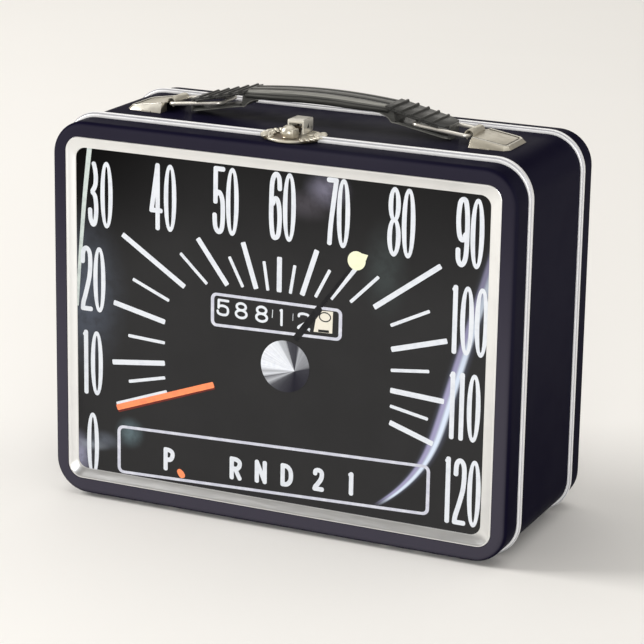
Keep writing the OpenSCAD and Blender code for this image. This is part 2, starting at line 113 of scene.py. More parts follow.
class Shape:
    """Points and faces of one piece, in millimetres, with a tone for each face."""

    def __init__(self):
        self.points = []
        self.faces = []
        self.tones = []

    def add(self, points, faces, tone=1.0):
        base = len(self.points)
        self.points += [Vector(p) for p in points]
        self.faces += [[base + i for i in face] for face in faces]
        self.tones += [tone] * len(faces)
        return self

    def loft(self, rings, closed=False, tone=1.0):
        """Skin over rings of equally many points; closed joins the last ring to the first."""
        n = len(rings[0])
        count = len(rings)
        faces = []
        for r in range(count if closed else count - 1):
            a, b = r * n, (r + 1) % count * n
            faces += [[a + i, a + (i + 1) % n, b + (i + 1) % n, b + i] for i in range(n)]
        if not closed:
            faces += [list(range(n))[::-1], [(count - 1) * n + i for i in range(n)]]
        return self.add([p for ring in rings for p in ring], faces, tone)

    def lathe(self, profile, centre, axis="Z", segments=48):
        """Turns (radius, height) points about an axis through centre."""
        turn = Matrix.Identity(3) if axis == "Z" else Matrix.Rotation(math.radians(90), 3, "Y")
        around = arc_points(0, 0, 1, 0, 360, segments)[:-1]
        return self.loft([[turn @ Vector((r * c, r * s, height)) + Vector(centre) for c, s in around]
                          for r, height in profile])

    def ball(self, centre, radius, segments=14):
        steps = segments // 2
        angles = [math.pi * (i + 0.15) / (steps + 0.3) - math.pi / 2 for i in range(steps + 1)]
        profile = [(radius * math.cos(a), radius * math.sin(a)) for a in angles]
        return self.lathe(profile, centre, segments=segments)

    def brick(self, low, high):
        (x0, y0, z0), (x1, y1, z1) = low, high
        bottom = [(x0, y0, z0), (x1, y0, z0), (x1, y1, z0), (x0, y1, z0)]
        return self.loft([bottom, [(x, y, z1) for x, y, _ in bottom]])

    def prism(self, outline, y0, y1):
        """An outline of (x, z) points drawn out along Y."""
        return self.loft([[(x, y, z) for x, z in outline] for y in (y0, y1)])

    def across(self, outline, x0, x1):
        """An outline of (y, z) points drawn out along X."""
        return self.loft([[(x, y, z) for y, z in outline] for x in (x0, x1)])

    def tube(self, path, radius, closed=False, sides=18):
        """A round bar along a path of points."""
        path = [Vector(p) for p in path]
        around = arc_points(0, 0, radius, 0, 360, sides)[:-1]
        side = direction_at(path, 0, closed).orthogonal()
        rings = []
        for i, point in enumerate(path):
            along = direction_at(path, i, closed)
            side = (side - along * side.dot(along)).normalized()
            up = along.cross(side)
            rings.append([point + run * side + rise * up for run, rise in around])
        return self.loft(rings, closed)

    def mirrored(self):
        """The same shape on the left side."""
        other = Shape()
        other.points = [Vector((-p.x, p.y, p.z)) for p in self.points]
        other.faces = [face[::-1] for face in self.faces]
        other.tones = list(self.tones)
        return other

    def both_sides(self):
        left = self.mirrored()
        self.add(left.points, left.faces)
        self.tones[-len(left.tones):] = left.tones
        return self


def direction_at(line, i, closed):
    """Direction of a line of vectors at its point i."""
    ahead = line[(i + 1) % len(line)] if closed or i < len(line) - 1 else line[i]
    behind = line[i - 1] if closed or i else line[i]
    return (ahead - behind).normalized()


def arc_points(u, v, radius, start, stop, steps):
    """Points on an arc about (u, v), its two angles in degrees."""
    angles = [math.radians(start + (stop - start) * k / steps) for k in range(steps + 1)]
    return [(u + radius * math.cos(a), v + radius * math.sin(a)) for a in angles]


def rounded_outline(w, h, r, zc=MID_Z, turn=12, side=14):
    """Points (x, z) of a rounded rectangle, anticlockwise from the lower right corner."""
    corners = [arc_points(sx * (w / 2 - r), zc + sz * (h / 2 - r), r, 90 * k - 90, 90 * k, turn)
               for k, (sx, sz) in enumerate(((1, -1), (1, 1), (-1, 1), (-1, -1)))]
    points = []
    for corner, following in zip(corners, corners[1:] + corners[:1]):
        (x0, z0), (x1, z1) = corner[-1], following[0]
        points += corner + [(x0 + (x1 - x0) * i / side, z0 + (z1 - z0) * i / side) for i in range(1, side)]
    return points


def body_ring(inset, y):
    """Ring around the box's outside, inset by some millimetres."""
    line = rounded_outline(CASE_W - 2 * inset, CASE_H - 2 * inset, CORNER_R - inset)
    return [(x, y, z) for x, z in line]


def window_ring(grow, y):
    """Ring around the window's edge, grown by some millimetres."""
    line = rounded_outline(WINDOW_W + 2 * grow, WINDOW_H + 2 * grow, WINDOW_R + grow, WINDOW_Z)
    return [(x, y, z) for x, z in line]


def view_ring(grow, y):
    """Ring around the part of the picture that is seen, shifted to its left."""
    line = rounded_outline(VIEW_W + 2 * grow, VIEW_H + 2 * grow, VIEW_R + grow, PLATE_Z)
    shift = VIEW_X if y < 0 else -VIEW_X
    return [(x + shift, y, z) for x, z in line]


def smooth_line(points, closed=False, steps=7):
    """A smooth curve through 2-D or 3-D points."""
    points = [Vector(p) for p in points]
    n = len(points)
    line = []
    for i in range(n if closed else n - 1):
        a = points[(i - 1) % n] if closed or i else 2 * points[0] - points[1]
        b, c = points[i], points[(i + 1) % n]
        d = points[(i + 2) % n] if closed or i < n - 2 else 2 * points[-1] - points[-2]
        for t in (k / steps for k in range(steps)):
            line.append(0.5 * (2 * b + (c - a) * t + (2 * a - 5 * b + 4 * c - d) * t * t
                               + (3 * b - a - 3 * c + d) * t ** 3))
    return line if closed else line + [points[-1]]


# ---------- making pieces ----------

# the slot of each material that isn't a slot of its own name
SLOTS = {"bead_tin": "bare_tin", "frame_tin": "bare_tin", "neck_tin": "bare_tin",
         "lit_nickel": "aged_nickel", "painted_shade": "aged_nickel"}


def new_mesh(name, shape):
    """A mesh in metres, its faces turned outward."""
    mesh = bpy.data.meshes.new(name)
    mesh.from_pydata([p * MM for p in shape.points], [], shape.faces)
    bm = bmesh.new()
    bm.from_mesh(mesh)
    bmesh.ops.recalc_face_normals(bm, faces=bm.faces)
    bm.to_mesh(mesh)
    bm.free()
    return mesh


def in_scene(name, data):
    """A new object that shows its data in the scene."""
    thing = bpy.data.objects.new(name, data)
    bpy.context.scene.collection.objects.link(thing)
    return thing


def make_piece(name, shape, look, body, replaced=(), slot=None):
    """A piece in the material called look, riding on a body in place of some CAD nodes."""
    mesh = new_mesh(name, shape)
    mesh.attributes.new("tone", "FLOAT", "FACE").data.foreach_set("value", shape.tones)
    mesh.materials.append(LOOKS[look])
    piece = in_scene(name, mesh)
    shade(piece)
    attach(piece, body)
    slot = slot or SLOTS.get(look, look)
    if replaced:
        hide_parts(*replaced)
    return piece


def shade(piece):
    """Smooth faces, with sharp edges where they meet at more than 38 degrees."""
    piece.data.shade_smooth()
    piece.data.set_sharp_from_angle(angle=math.radians(38))


def bake_modifiers(piece):
    """Applies the piece's modifiers to its mesh."""
    bpy.context.view_layer.update()
    graph = bpy.context.evaluated_depsgraph_get()
    made = bpy.data.meshes.new_from_object(piece.evaluated_get(graph))
    piece.modifiers.clear()
    piece.data = made
    shade(piece)


def bevel(piece, width, segments=3, angle=35):
    """Rounds the edges where faces meet at more than an angle in degrees."""
    edge = piece.modifiers.new("bevel", "BEVEL")
    edge.width = width * MM
    edge.segments = segments
    edge.limit_method = "ANGLE"
    edge.angle_limit = math.radians(angle)
    edge.use_clamp_overlap = True
    bake_modifiers(piece)


def boolean(piece, bricks, operation="DIFFERENCE"):
    """Cuts bricks, given as pairs of corners, out of a piece, or keeps what lies in them."""
    shape = Shape()
    for low, high in bricks:
        shape.brick(low, high)
    cutter = in_scene("cutter", new_mesh("cutter", shape))
    cut = piece.modifiers.new("cut", "BOOLEAN")
    cut.operation = operation
    cut.object = cutter
    cut.solver = "EXACT"
    bake_modifiers(piece)
    bpy.data.objects.remove(cutter)


# ---------- materials ----------

LOOKS = {}                        # every material mixed here, by the name it was asked for


class Paint:
    """A material with short calls to add and join nodes; each coat goes over the ones before."""

    def __init__(self, name, colour, roughness, metallic=0.0, gloss=0.5):
        self.material = LOOKS[name] = bpy.data.materials.new(name)
        self.material.use_nodes = True
        self.tree = self.material.node_tree
        self.shader = self.tree.nodes["Principled BSDF"]
        self.look = colour
        for socket, value in (("Base Color", (*colour, 1)), ("Roughness", roughness),
                              ("Metallic", metallic), ("Specular IOR Level", gloss)):
            self.shader.inputs[socket].default_value = value
        place = self.node("ShaderNodeTexCoord").outputs["Object"]
        self.place = self.vector("MULTIPLY", place, (1 / MM, 1 / MM, 1 / MM))

    def node(self, kind, **settings):
        made = self.tree.nodes.new(kind)
        for key, value in settings.items():
            setattr(made, key, value)
        return made

    def feed(self, socket, value):
        """Joins a socket to another, or sets its number."""
        if isinstance(value, bpy.types.NodeSocket):
            self.tree.links.new(value, socket)
        else:
            socket.default_value = value

    def filled(self, made, values):
        """Feeds a node's inputs in their order and gives its outputs."""
        for socket, value in zip(made.inputs, values):
            self.feed(socket, value)
        return made.outputs

    def math(self, operation, *values, clamp=False):
        return self.filled(self.node("ShaderNodeMath", operation=operation, use_clamp=clamp), values)[0]

    def times(self, a, b, clamp=False):
        return self.math("MULTIPLY", a, b, clamp=clamp)

    def minus(self, a, b):
        return self.math("SUBTRACT", a, b)

    def size(self, value):
        """A value without its sign."""
        return self.math("ABSOLUTE", value)

    def vector(self, operation, *values):
        """Vector arithmetic; a distance or a length comes out as a number."""
        made = self.filled(self.node("ShaderNodeVectorMath", operation=operation), values)
        return made["Value" if operation in ("DISTANCE", "LENGTH") else "Vector"]

    def axes(self, vector):
        """The X, Y and Z of a vector."""
        return list(self.filled(self.node("ShaderNodeSeparateXYZ"), [vector]))

    def facing(self):
        """The X, Y and Z of the direction that the surface faces."""
        return self.axes(self.node("ShaderNodeTexCoord").outputs["Normal"])

    def tone(self):
        """The tone that the mesh gives to each face."""
        return self.node("ShaderNodeAttribute", attribute_name="tone").outputs["Fac"]

    def noise(self, size, detail=3.0, roughness=0.5, stretch=(1, 1, 1)):
        """Noise whose grain is about size millimetres across, longer along a stretched axis."""
        made = self.node("ShaderNodeTexNoise")
        scaled = self.vector("DIVIDE", self.place, tuple(size * s for s in stretch))
        for name, value in (("Vector", scaled), ("Scale", 1.0), ("Detail", detail),
                            ("Roughness", roughness)):
            self.feed(made.inputs[name], value)
        return made.outputs["Fac"]

    def spread(self, value, low, high, to_low=0.0, to_high=1.0):
        """Maps low..high to to_low..to_high with soft ends."""
        made = self.node("ShaderNodeMapRange", interpolation_type="SMOOTHSTEP")
        return self.filled(made, (value, low, high, to_low, to_high))[0]

    def spot(self, centre, size, strength):
        """A soft spot: strength in the middle, nothing at its rim."""
        away = self.vector("DIVIDE", self.vector("SUBTRACT", self.place, centre), size)
        return self.spread(self.vector("LENGTH", away), 0, 1, strength, 0)

    def blend(self, share, a, b):
        """Colour a, going over to b by a share."""
        made = self.node("ShaderNodeMix", data_type="RGBA")
        self.feed(made.inputs[0], share)
        for socket, colour in ((made.inputs[6], a), (made.inputs[7], b)):
            self.feed(socket, (*colour, 1) if isinstance(colour, tuple) else colour)
        return made.outputs[2]

    def coat(self, share, colour):
        """Paints a colour over what is there, by its share."""
        self.look = self.blend(share, self.look, colour)
        self.feed(self.shader.inputs["Base Color"], self.look)

    def finish(self, grain, levels, relief, depth):
        """Roughness spread from the grain, and a bump of depth millimetres."""
        self.feed(self.shader.inputs["Roughness"], self.spread(grain, *levels))
        bump = self.node("ShaderNodeBump")
        self.feed(bump.inputs["Height"], relief)
        self.feed(bump.inputs["Distance"], depth * MM)
        self.feed(self.shader.inputs["Normal"], bump.outputs["Normal"])


def enamel_paint():
    """Baked navy enamel with fine rubs; painted light pales the front, back, upper sides and a spot on top.
    """
    paint = Paint("navy_enamel", (0.0062, 0.0052, 0.016), 0.32, gloss=0.002)
    facing_x, facing_y, _ = paint.facing()
    height = paint.axes(paint.place)[2]
    # painted reflection: faces turned to the front or back are paler, less so towards the top
    flat = paint.times(paint.spread(paint.size(facing_y), 0.6, 0.97),
                       paint.spread(height, 160, 60, 0.36, 1))
    # painted light: the sides are paler higher up
    upper = paint.times(paint.spread(paint.size(facing_x), 0.5, 0.9), paint.spread(height, 30, 110))
    cloudy = paint.spread(paint.noise(38, 4, 0.6), 0.35, 0.75)
    rubbed = paint.spread(paint.noise(1.1, 5, 0.7, (9, 1, 9)), 0.66, 0.8, 0, 0.35)
    # painted reflection: a soft pale spot on the top
    top_reflection = paint.spot((30, -5, TOP_Z), (72, 60, 12), 0.8)
    for share, colour in ((cloudy, (0.0075, 0.0066, 0.0175)), (upper, (0.0135, 0.0125, 0.0245)),
                          (top_reflection, (0.026, 0.0255, 0.034)), (flat, (0.053, 0.049, 0.066)),
                          (rubbed, (0.014, 0.014, 0.025))):
        paint.coat(share, colour)
    paint.finish(paint.noise(17, 5, 0.65), (0.3, 0.8, 0.28, 0.4), paint.noise(1.6, 2, 0.5), 0.006)


def tin_paint(name, colour, stretch, up_shade):
    """Bare tinplate: rolling lines, grey bloom and a few darker spots; the last argument greys what faces
    up, a painted shade.
    """
    paint = Paint(name, colour, 0.3, metallic=0.92)
    lines = paint.noise(0.5, 3, 0.6, stretch)
    paint.coat(paint.spread(paint.noise(14, 4, 0.55), 0.45, 0.85, 0, 0.5), tuple(0.82 * c for c in colour))
    paint.coat(paint.spread(paint.noise(1.6, 2, 0.5), 0.76, 0.84, 0, 0.35), (0.4, 0.39, 0.36))
    # painted shade: greys the faces that turn up
    paint.coat(paint.spread(paint.facing()[2], 0.1, 0.4, 0, up_shade), (0.36, 0.37, 0.4))
    paint.finish(lines, (0.3, 0.75, 0.28, 0.36), lines, 0.0012)


def bead_paint():
    """Bright tin of the rolled edges, with a painted shade line where the roll meets its lip (tone 0)."""
    paint = Paint("bead_tin", (0.95, 0.95, 0.96), 0.34, metallic=0.3)
    paint.coat(paint.spread(paint.noise(9, 4, 0.55), 0.45, 0.85, 0, 0.4), (0.87, 0.87, 0.87))
    # painted shade: a grey line where the roll meets its lip
    paint.coat(paint.minus(1, paint.tone()), (0.5, 0.5, 0.53))
    paint.finish(paint.noise(4, 3, 0.5), (0.3, 0.75, 0.3, 0.42), paint.noise(5, 1, 0.5), 0.003)


# painted shade and painted light colours for the brackets
SHADE_BROWN, LIGHT_PALE = (0.3, 0.265, 0.2), (0.8, 0.78, 0.73)


def latch_grime(paint):
    """The brown dish of the latch plate, and the dark low down between its leaves."""
    x, _, z = paint.axes(paint.place)
    dish = paint.spot((ROSE_X - 3.5, ROSE_Y - 2.5, DISC_Z + 0.4), (9.5, 8, 2), 1.0)
    paint.coat(paint.times(dish, 0.95), (0.2, 0.12, 0.065))
    off_centre = paint.size(paint.minus(x, ROSE_X))
    near = paint.times(paint.spread(off_centre, 6, 8), paint.spread(off_centre, 18, 20, 1, 0))
    low = paint.spread(z, DISC_Z + 1.1, DISC_Z + 1.5, 0.85, 0)
    paint.coat(paint.times(low, near), (0.13, 0.1, 0.06))


def bracket_light_and_shade(paint):
    """Painted light and shade: the brackets' front walls, the panel inside the crease, the open end's walls.

    The latch lies within 20 mm of the middle, and the brackets lie beyond 63 mm.
    """
    x, y, _ = paint.axes(paint.place)
    facing_x, facing_y, facing_z = paint.facing()
    upright = paint.spread(facing_z, 0.75, 0.95, 1, 0)
    front = paint.times(upright, paint.spread(facing_y, -0.7, -0.5, 1, 0))
    # painted shade: the right bracket's front wall darker
    paint.coat(paint.times(front, paint.spread(x, 60, 64, 0, 0.35)), SHADE_BROWN)
    # painted light: the left bracket's front wall paler
    paint.coat(paint.times(front, paint.spread(x, -64, -60, 0.4, 0)), LIGHT_PALE)
    along = paint.size(x)
    # painted shade: the top panel inside the crease darker
    panel = paint.times(paint.spread(paint.size(y), 8.9, 8.6), paint.spread(along, 81.7, 81.4))
    panel = paint.times(panel, paint.spread(along, 67, 68, 0, 0.35))
    paint.coat(paint.times(panel, paint.spread(facing_z, 0.8, 0.95)), SHADE_BROWN)
    # painted shade: the walls of the open end, turned to the middle, made dark
    open_end_shade = paint.spread(paint.times(facing_x, x), -66, -64.2, 0.85, 0)
    paint.coat(open_end_shade, (0.07, 0.058, 0.042))


def hasp_inner_shade(paint):
    """Painted shade inside the hasp."""
    hollow = (0, (HASP_LOW.y + HASP_HIGH.y) / 2, (HASP_LOW.z + HASP_HIGH.z) / 2 - 1)
    hollow_shade = paint.spot(hollow, (HASP_HIGH.x - 0.1, 6.5, 4), 1.0)
    paint.coat(paint.spread(hollow_shade, 0.02, 0.22), (0.05, 0.038, 0.026))


def nickel_paint(name, bright, metallic):
    """Aged nickel plate: warm and satin, tarnished in patches, grime in the latch, painted light and shade
    on brackets and hasp.
    """
    paint = Paint(name, bright, 0.3, metallic=metallic)
    paint.coat(paint.spread(paint.noise(5, 3, 0.5), 0.45, 0.75, 0, 0.8), tuple(0.78 * c for c in bright))
    paint.coat(paint.spread(paint.noise(2.2, 2, 0.5), 0.68, 0.84, 0, 0.2), (0.34, 0.29, 0.2))
    latch_grime(paint)
    bracket_light_and_shade(paint)
    hasp_inner_shade(paint)
    paint.finish(paint.noise(3, 3, 0.6), (0.3, 0.75, 0.29, 0.38), paint.noise(4, 1, 0.5), 0.004)


def hole_shade_paint():
    """Painted shade, near black with a little brown: the inside of a small hole, and a line beside a crease.
    """
    paint = Paint("painted_shade", (0.006, 0.006, 0.006), 0.8)
    paint.coat(paint.noise(0.4, 3), (0.03, 0.026, 0.02))


def wire_paint():
    """Bright plated wire with drawing marks."""
    paint = Paint("bright_wire", (0.84, 0.81, 0.74), 0.3, metallic=0.7)
    marks = paint.noise(0.5, 3, 0.6, (16, 1, 1))
    paint.coat(paint.spread(marks, 0.55, 0.8, 0, 0.5), (0.5, 0.45, 0.37))
    paint.finish(marks, (0.3, 0.7, 0.29, 0.38), marks, 0.0015)


def handle_paint():
    """Semi-gloss moulded plastic: flow lines along the grip, dust in the grain; tone is painted light and
    shade.
    """
    paint = Paint("handle_plastic", (0.006, 0.0062, 0.0072), 0.3, gloss=0.2)
    flow = paint.spread(paint.noise(0.9, 3, 0.6, (26, 1, 1)), 0.3, 0.75, 0.6, 1.25)
    # painted light: the face tone, streaked by flow lines, pales the plastic; low tones stay dark as painted
    # shade
    paint.coat(paint.times(paint.tone(), flow, clamp=True), (0.29, 0.287, 0.262))
    paint.coat(paint.spread(paint.noise(1.5, 3, 0.6), 0.62, 0.8, 0, 0.2), (0.12, 0.12, 0.11))
    paint.finish(paint.noise(4, 4, 0.6), (0.3, 0.75, 0.29, 0.42),
                 paint.noise(1.4, 2, 0.5, (6, 1, 1)), 0.004)


def ink_paint(name, colour, faded):
    """Ink of one colour under the print's varnish, slightly uneven."""
    paint = Paint(name, colour, 0.32, gloss=0.12)
    paint.coat(paint.spread(paint.noise(3, 4, 0.6), 0.4, 0.75), faded)
    paint.finish(paint.noise(5, 3, 0.5), (0.3, 0.7, 0.28, 0.38), paint.noise(0.3, 2, 0.5), 0.003)


# the curved glint: a leaning line through a place, bent to the left below a height
GLINT_X, GLINT_Z, GLINT_LEAN = 70.6, 52, 0.29
BEND_Z, BEND_POWER, BEND_RATE = 55, 2.75, 6.47e-4
# its lanes: offset of the middle, half width and strength
LANES = ((0, 5, 0.3), (-1.3, 2.0, 0.75), (0.9, 1.9, 1.0))
LANE_COLOURS = ((0.2, 0.22, 0.32), (0.42, 0.4, 0.62), (0.66, 0.74, 0.88))


def streak_lanes(paint, flip):
    """Shares of the three lanes of a curved glint; x runs the other way on the back."""
    x, _, z = paint.axes(paint.place)
    x, z = paint.times(x, flip), paint.minus(z, DIAL_Z0)
    below = paint.math("MAXIMUM", paint.minus(BEND_Z, z), 0)
    bend = paint.times(paint.math("POWER", below, BEND_POWER), BEND_RATE)
    line = paint.math("ADD", paint.times(paint.minus(z, GLINT_Z), GLINT_LEAN), GLINT_X)
    off = paint.minus(x, paint.minus(line, bend))
    ends = paint.times(paint.spread(z, 15, 22), paint.spread(z, 60, 122, 1, 0.45))
    narrow = paint.spread(z, 14, 52, 0.6, 1)
    lanes = []
    for middle, half, strength in LANES:
        away = paint.size(paint.minus(paint.math("DIVIDE", off, narrow), middle))
        lanes.append(paint.times(paint.spread(away, 0.2 * half, half, strength, 0), ends))
    return lanes


# soft glints of the dial's glass: place, half size, strength and colour
GLOWS = (((-90, 86), (26, 42), 0.8, (0.1, 0.115, 0.15)), ((-66, 29), (8, 8), 0.8, (0.13, 0.18, 0.2)),
         ((-91, 16), (9, 13), 0.95, (0.34, 0.34, 0.46)), ((-78, 24), (11, 5), 0.5, (0.16, 0.18, 0.22)),
         ((-85, 21), (11, 3), 0.6, (0.3, 0.33, 0.38)), ((21, 141), (12, 9), 0.75, (0.22, 0.21, 0.28)),
         ((12, 134), (16, 8), 0.5, (0.11, 0.1, 0.12)), ((46, 112), (12, 24), 0.4, (0.08, 0.1, 0.1)))
DARK_CORNER = (-95, 157)          # the picture's upper left corner, where the painted reflection fades out and the ground is darkest
BARE_TIN = (0.6, 0.59, 0.56)


def ground_paint(name, flip):
    """The picture's charcoal ground, its printed glints and a painted floor reflection; the plate's inner
    face is bare tin.
    """
    paint = Paint(name, (0.0015, 0.0014, 0.0016), 0.3, gloss=0.03)
    height = paint.axes(paint.place)[2]
    x, z = DARK_CORNER
    corner = paint.vector("DISTANCE", paint.place, (flip * x, PLATE_LOW.y, z))
    # painted reflection of the floor: paler lower down and away from the dark corner
    floor_reflection = paint.times(paint.spread(corner, 0, 72), paint.spread(height, 158, 95, 0.45, 1))
    cloud = paint.spread(paint.noise(30, 4, 0.6), 0.25, 0.8, 0.88, 1.0)
    paint.coat(paint.times(floor_reflection, cloud), (0.0325, 0.0322, 0.033))
    for (x, z), size, strength, tint in GLOWS:
        share = paint.spot((flip * x, 0, z + DIAL_Z0), (size[0], 1000, size[1]), strength)
        paint.coat(paint.times(share, paint.spread(paint.noise(5, 3, 0.6), 0.3, 0.6, 0.6, 1)), tint)
    for lane, tint in zip(streak_lanes(paint, flip), LANE_COLOURS):
        paint.coat(lane, tint)
    inner = paint.spread(paint.times(paint.facing()[1], flip), 0.2, 0.6)
    paint.coat(inner, BARE_TIN)
    paint.feed(paint.shader.inputs["Metallic"], paint.times(inner, 0.8))
    paint.finish(paint.noise(12, 4, 0.6), (0.3, 0.75, 0.29, 0.38), paint.noise(9, 2, 0.5), 0.012)


def hub_paint():
    """Printed picture of a spun hub: each face's own tone, with a little cloud."""
    paint = Paint("hub_print", (0.014, 0.013, 0.022), 0.3, gloss=0.12)
    tone = paint.tone()
    paint.coat(tone, (0.88, 0.91, 0.97))
    cloud = paint.spread(paint.noise(1.5, 3), 0.4, 0.8, 0, 0.3)
    paint.coat(paint.times(cloud, tone), (0.46, 0.5, 0.62))
    paint.finish(paint.noise(5), (0.3, 0.7, 0.28, 0.36), paint.noise(0.3, 2, 0.5), 0.003)


# colour and faded colour of each ink
INKS = {"white": ((0.74, 0.77, 0.82), (0.66, 0.69, 0.75)), "mist": ((0.62, 0.69, 0.66), (0.5, 0.56, 0.55)),
        "pale": ((0.56, 0.57, 0.66), (0.7, 0.71, 0.78)), "orange": ((1.0, 0.3, 0.13), (0.9, 0.24, 0.12)),
        "black": ((0.012, 0.012, 0.014), (0.02, 0.02, 0.022)),
        "cream": ((0.86, 0.88, 0.64), (0.8, 0.84, 0.58)), "ivory": ((0.8, 0.76, 0.66), (0.72, 0.69, 0.6)),
        "red": ((0.16, 0.03, 0.022), (0.11, 0.025, 0.02))}


# name, colour, stretch of the rolling lines, and how much painted shade greys what faces up
TINS = (("bare_tin", (0.84, 0.82, 0.77), (1, 14, 1), 0), ("frame_tin", (0.85, 0.85, 0.84), (18, 1, 1), 0.45),
        ("neck_tin", (0.74, 0.73, 0.7), (10, 1, 10), 0))


def make_paints():
    """Mixes the materials, except the grounds of the two dials and the floor's paper."""
    enamel_paint()
    for tin in TINS:
        tin_paint(*tin)
    bead_paint()
    nickel_paint("aged_nickel", (0.64, 0.6, 0.505), 0.78)
    # a paler copy of the nickel, as painted light, for the hasp and the painted highlight on the brackets'
    # crease
    nickel_paint("lit_nickel", (0.86, 0.83, 0.745), 0.55)
    hole_shade_paint()
    wire_paint()
    handle_paint()
    hub_paint()
    for name, (colour, faded) in INKS.items():
        ink_paint(name + "_ink", colour, faded)


# ---------- shells ----------

HINGE_X = 55
HINGE_W = 21.7
HINGE_GAP = 0.35
EASE = 0.15                       # how far the cut edges of the sheet are eased


def edge_arc(radius, y0, direction, inset0=0.0):
    """Rings of a rounded edge, from the flat face to the wall."""
    return [body_ring(inset0 + radius - rise, y0 + direction * (radius - run))
            for run, rise in arc_points(0, 0, radius, 0, 90, 8)]


def tray_shape(y0, direction, depth):
    """A pressed tray with a window: outside from the window to the rim, then the inside back."""
    at = lambda d: y0 + direction * d
    rings = [window_ring(grow, at(d)) for grow, d in ((0, SHEET_T), (0, 0.2), (0.2, 0))]
    rings += edge_arc(EDGE_R, y0, direction)
    wall = [(0, 4), (0, 7), (0, 10), (0, depth - 0.6), (0, depth - EASE), (EASE, depth),
            (SHEET_T - EASE, depth), (SHEET_T, depth - EASE), (SHEET_T, 8)]
    rings += [body_ring(inset, at(d)) for inset, d in wall]
    rings += edge_arc(EDGE_R - SHEET_T, at(SHEET_T), direction, SHEET_T)[::-1]
    return Shape().loft(rings, closed=True)


def hinge_notches():
    """Cuts in the lid's rim and bead that let the hinge leaves through."""
    half, top = HINGE_W / 2 + HINGE_GAP, BASE_Z + SHEET_T + 1.2
    return [((x - half, SEAM_Y - 1.9, -1), (x + half, SEAM_Y + 2.1, top)) for x in (-HINGE_X, HINGE_X)]


def band_shape(y0, y1):
    """The deep middle band, a wall open at both ends."""
    ys = [y0 + (y1 - y0) * i / 6 for i in range(7)]
    rings = [body_ring(SHEET_T, y) for y in ys[::-1]] + [body_ring(EASE, y0)]
    rings += [body_ring(0, y) for y in [y0 + EASE] + ys[1:-1] + [y1 - EASE]] + [body_ring(EASE, y1)]
    return Shape().loft(rings, closed=True)


def neck_shape():
    """Collar that the lid closes over, with a rolled front edge and a spot-welded rear lip."""
    gap, roll, y0, y1 = 1.8, 0.45, NECK_LOW.y, NECK_HIGH.y
    rings = [body_ring(gap + SHEET_T, y) for y in (y1 - 1, y0 + 1)]
    rings += [body_ring(gap + SHEET_T / 2 + run, y0 + roll - rise)
              for run, rise in arc_points(0, 0, roll, 0, 180, 8)]
    lip = SHEET_T + 0.02
    rear = ((gap, y0 + 1.2), (gap, y1 - 2.2), (lip, y1 - 1.4), (lip, y1 - 0.1), (SHEET_T + 0.3, y1))
    return Shape().loft(rings + [body_ring(inset, y) for inset, y in rear], closed=True)


BEAD_STEPS = 32                   # strips across a rolled edge
BEAD_LINE = 0.6                   # where the roll meets its low lip, as a share of its half width
BEAD_STEP = 0.55                  # height of the lip, as a share of the roll's


def shade_line_tone(strip):
    """0 on the strip where the roll meets its lip, which gets a painted shade line, else 1."""
    across = math.sin(math.pi * (strip - 0.5) / BEAD_STEPS - math.pi / 2)
    return 0.0 if abs(across - BEAD_LINE) < 0.03 else 1.0


def bead_ring(x, z, out, y, half, proud):
    """Section of a rolled edge at one place on the outline; it never dips into the seam."""
    over_seam = y < CASE_LOW.y < y + half
    sunk = -0.03 if over_seam else 0.3
    ring = [(x - sunk * out.x, y + half * 0.92, z - sunk * out.y)]
    for k in range(BEAD_STEPS + 1):
        a = math.pi / 2 - math.pi * k / BEAD_STEPS
        swell = abs(math.cos(a)) ** 0.7
        lift = 0.04 + proud * (swell if math.sin(a) > -BEAD_LINE else min(swell, BEAD_STEP))
        ring.append((x + lift * out.x, y + half * math.sin(a), z + lift * out.y))
    return ring + [(x - 0.3 * out.x, y - half * 0.92, z - 0.3 * out.y)]


def bead_shape(y, top_half, low_half, proud_top, proud_low):
    """Rolled edge around the box, fuller along the top than below."""
    line = rounded_outline(CASE_W, CASE_H, CORNER_R, side=22)
    rings = []
    for i, (x, z) in enumerate(line):
        (xa, za), (xb, zb) = line[i - 1], line[(i + 1) % len(line)]
        along = Vector((xb - xa, zb - za)).normalized()
        out = Vector((along.y, -along.x))
        up = min(max((z - MID_Z) / (CASE_H / 2), -1), 1) ** 3 * 0.5 + 0.5
        proud = proud_low + (proud_top - proud_low) * (out.y > 0) * out.y ** 2 * up
        rings.append(bead_ring(x, z, out, y, low_half + (top_half - low_half) * up, proud))
    shape = Shape().loft(rings, closed=True)
    # tone 0 marks the strip of the painted shade line
    shape.tones = [shade_line_tone(k) for k in range(BEAD_STEPS + 3)] * len(line)
    return shape


def bezel_shape(y0, direction):
    """Sloped silver frame with a rounded outer lip and a thin bright inner edge."""
    at = lambda d: y0 + direction * d
    depth = abs(PLATE_LOW.y - LID_LOW.y)
    lip = ((2.4, 0.9), (2.4, 0.52), (-0.02, 0.5), (-0.02, 0.12), (-0.2, 0.02), (-0.5, 0.05))
    rings = [window_ring(grow, at(d)) for grow, d in lip]
    outer, inner = window_ring(-0.8, at(0.2)), view_ring(0.35, at(depth - 0.25))
    for i in range(7):
        t = i / 6
        sag = Vector((0, direction * 0.12 * math.sin(math.pi * t), 0))
        rings.append([Vector(a).lerp(Vector(b), t) + sag for a, b in zip(outer, inner)])
    rings += [view_ring(grow, at(depth - d)) for grow, d in ((0.1, 0.2), (0, 0.05), (1.2, 0.02))]
    return Shape().loft(rings + [window_ring(-0.9, at(0.9))], closed=True)


def plate_shape(y0, direction):
    """Picture plate, a flat sheet that laps behind its frame."""
    return Shape().loft([view_ring(PLATE_LAP - abs(VIEW_X), y) for y in (y0 + direction * SHEET_T, y0)])


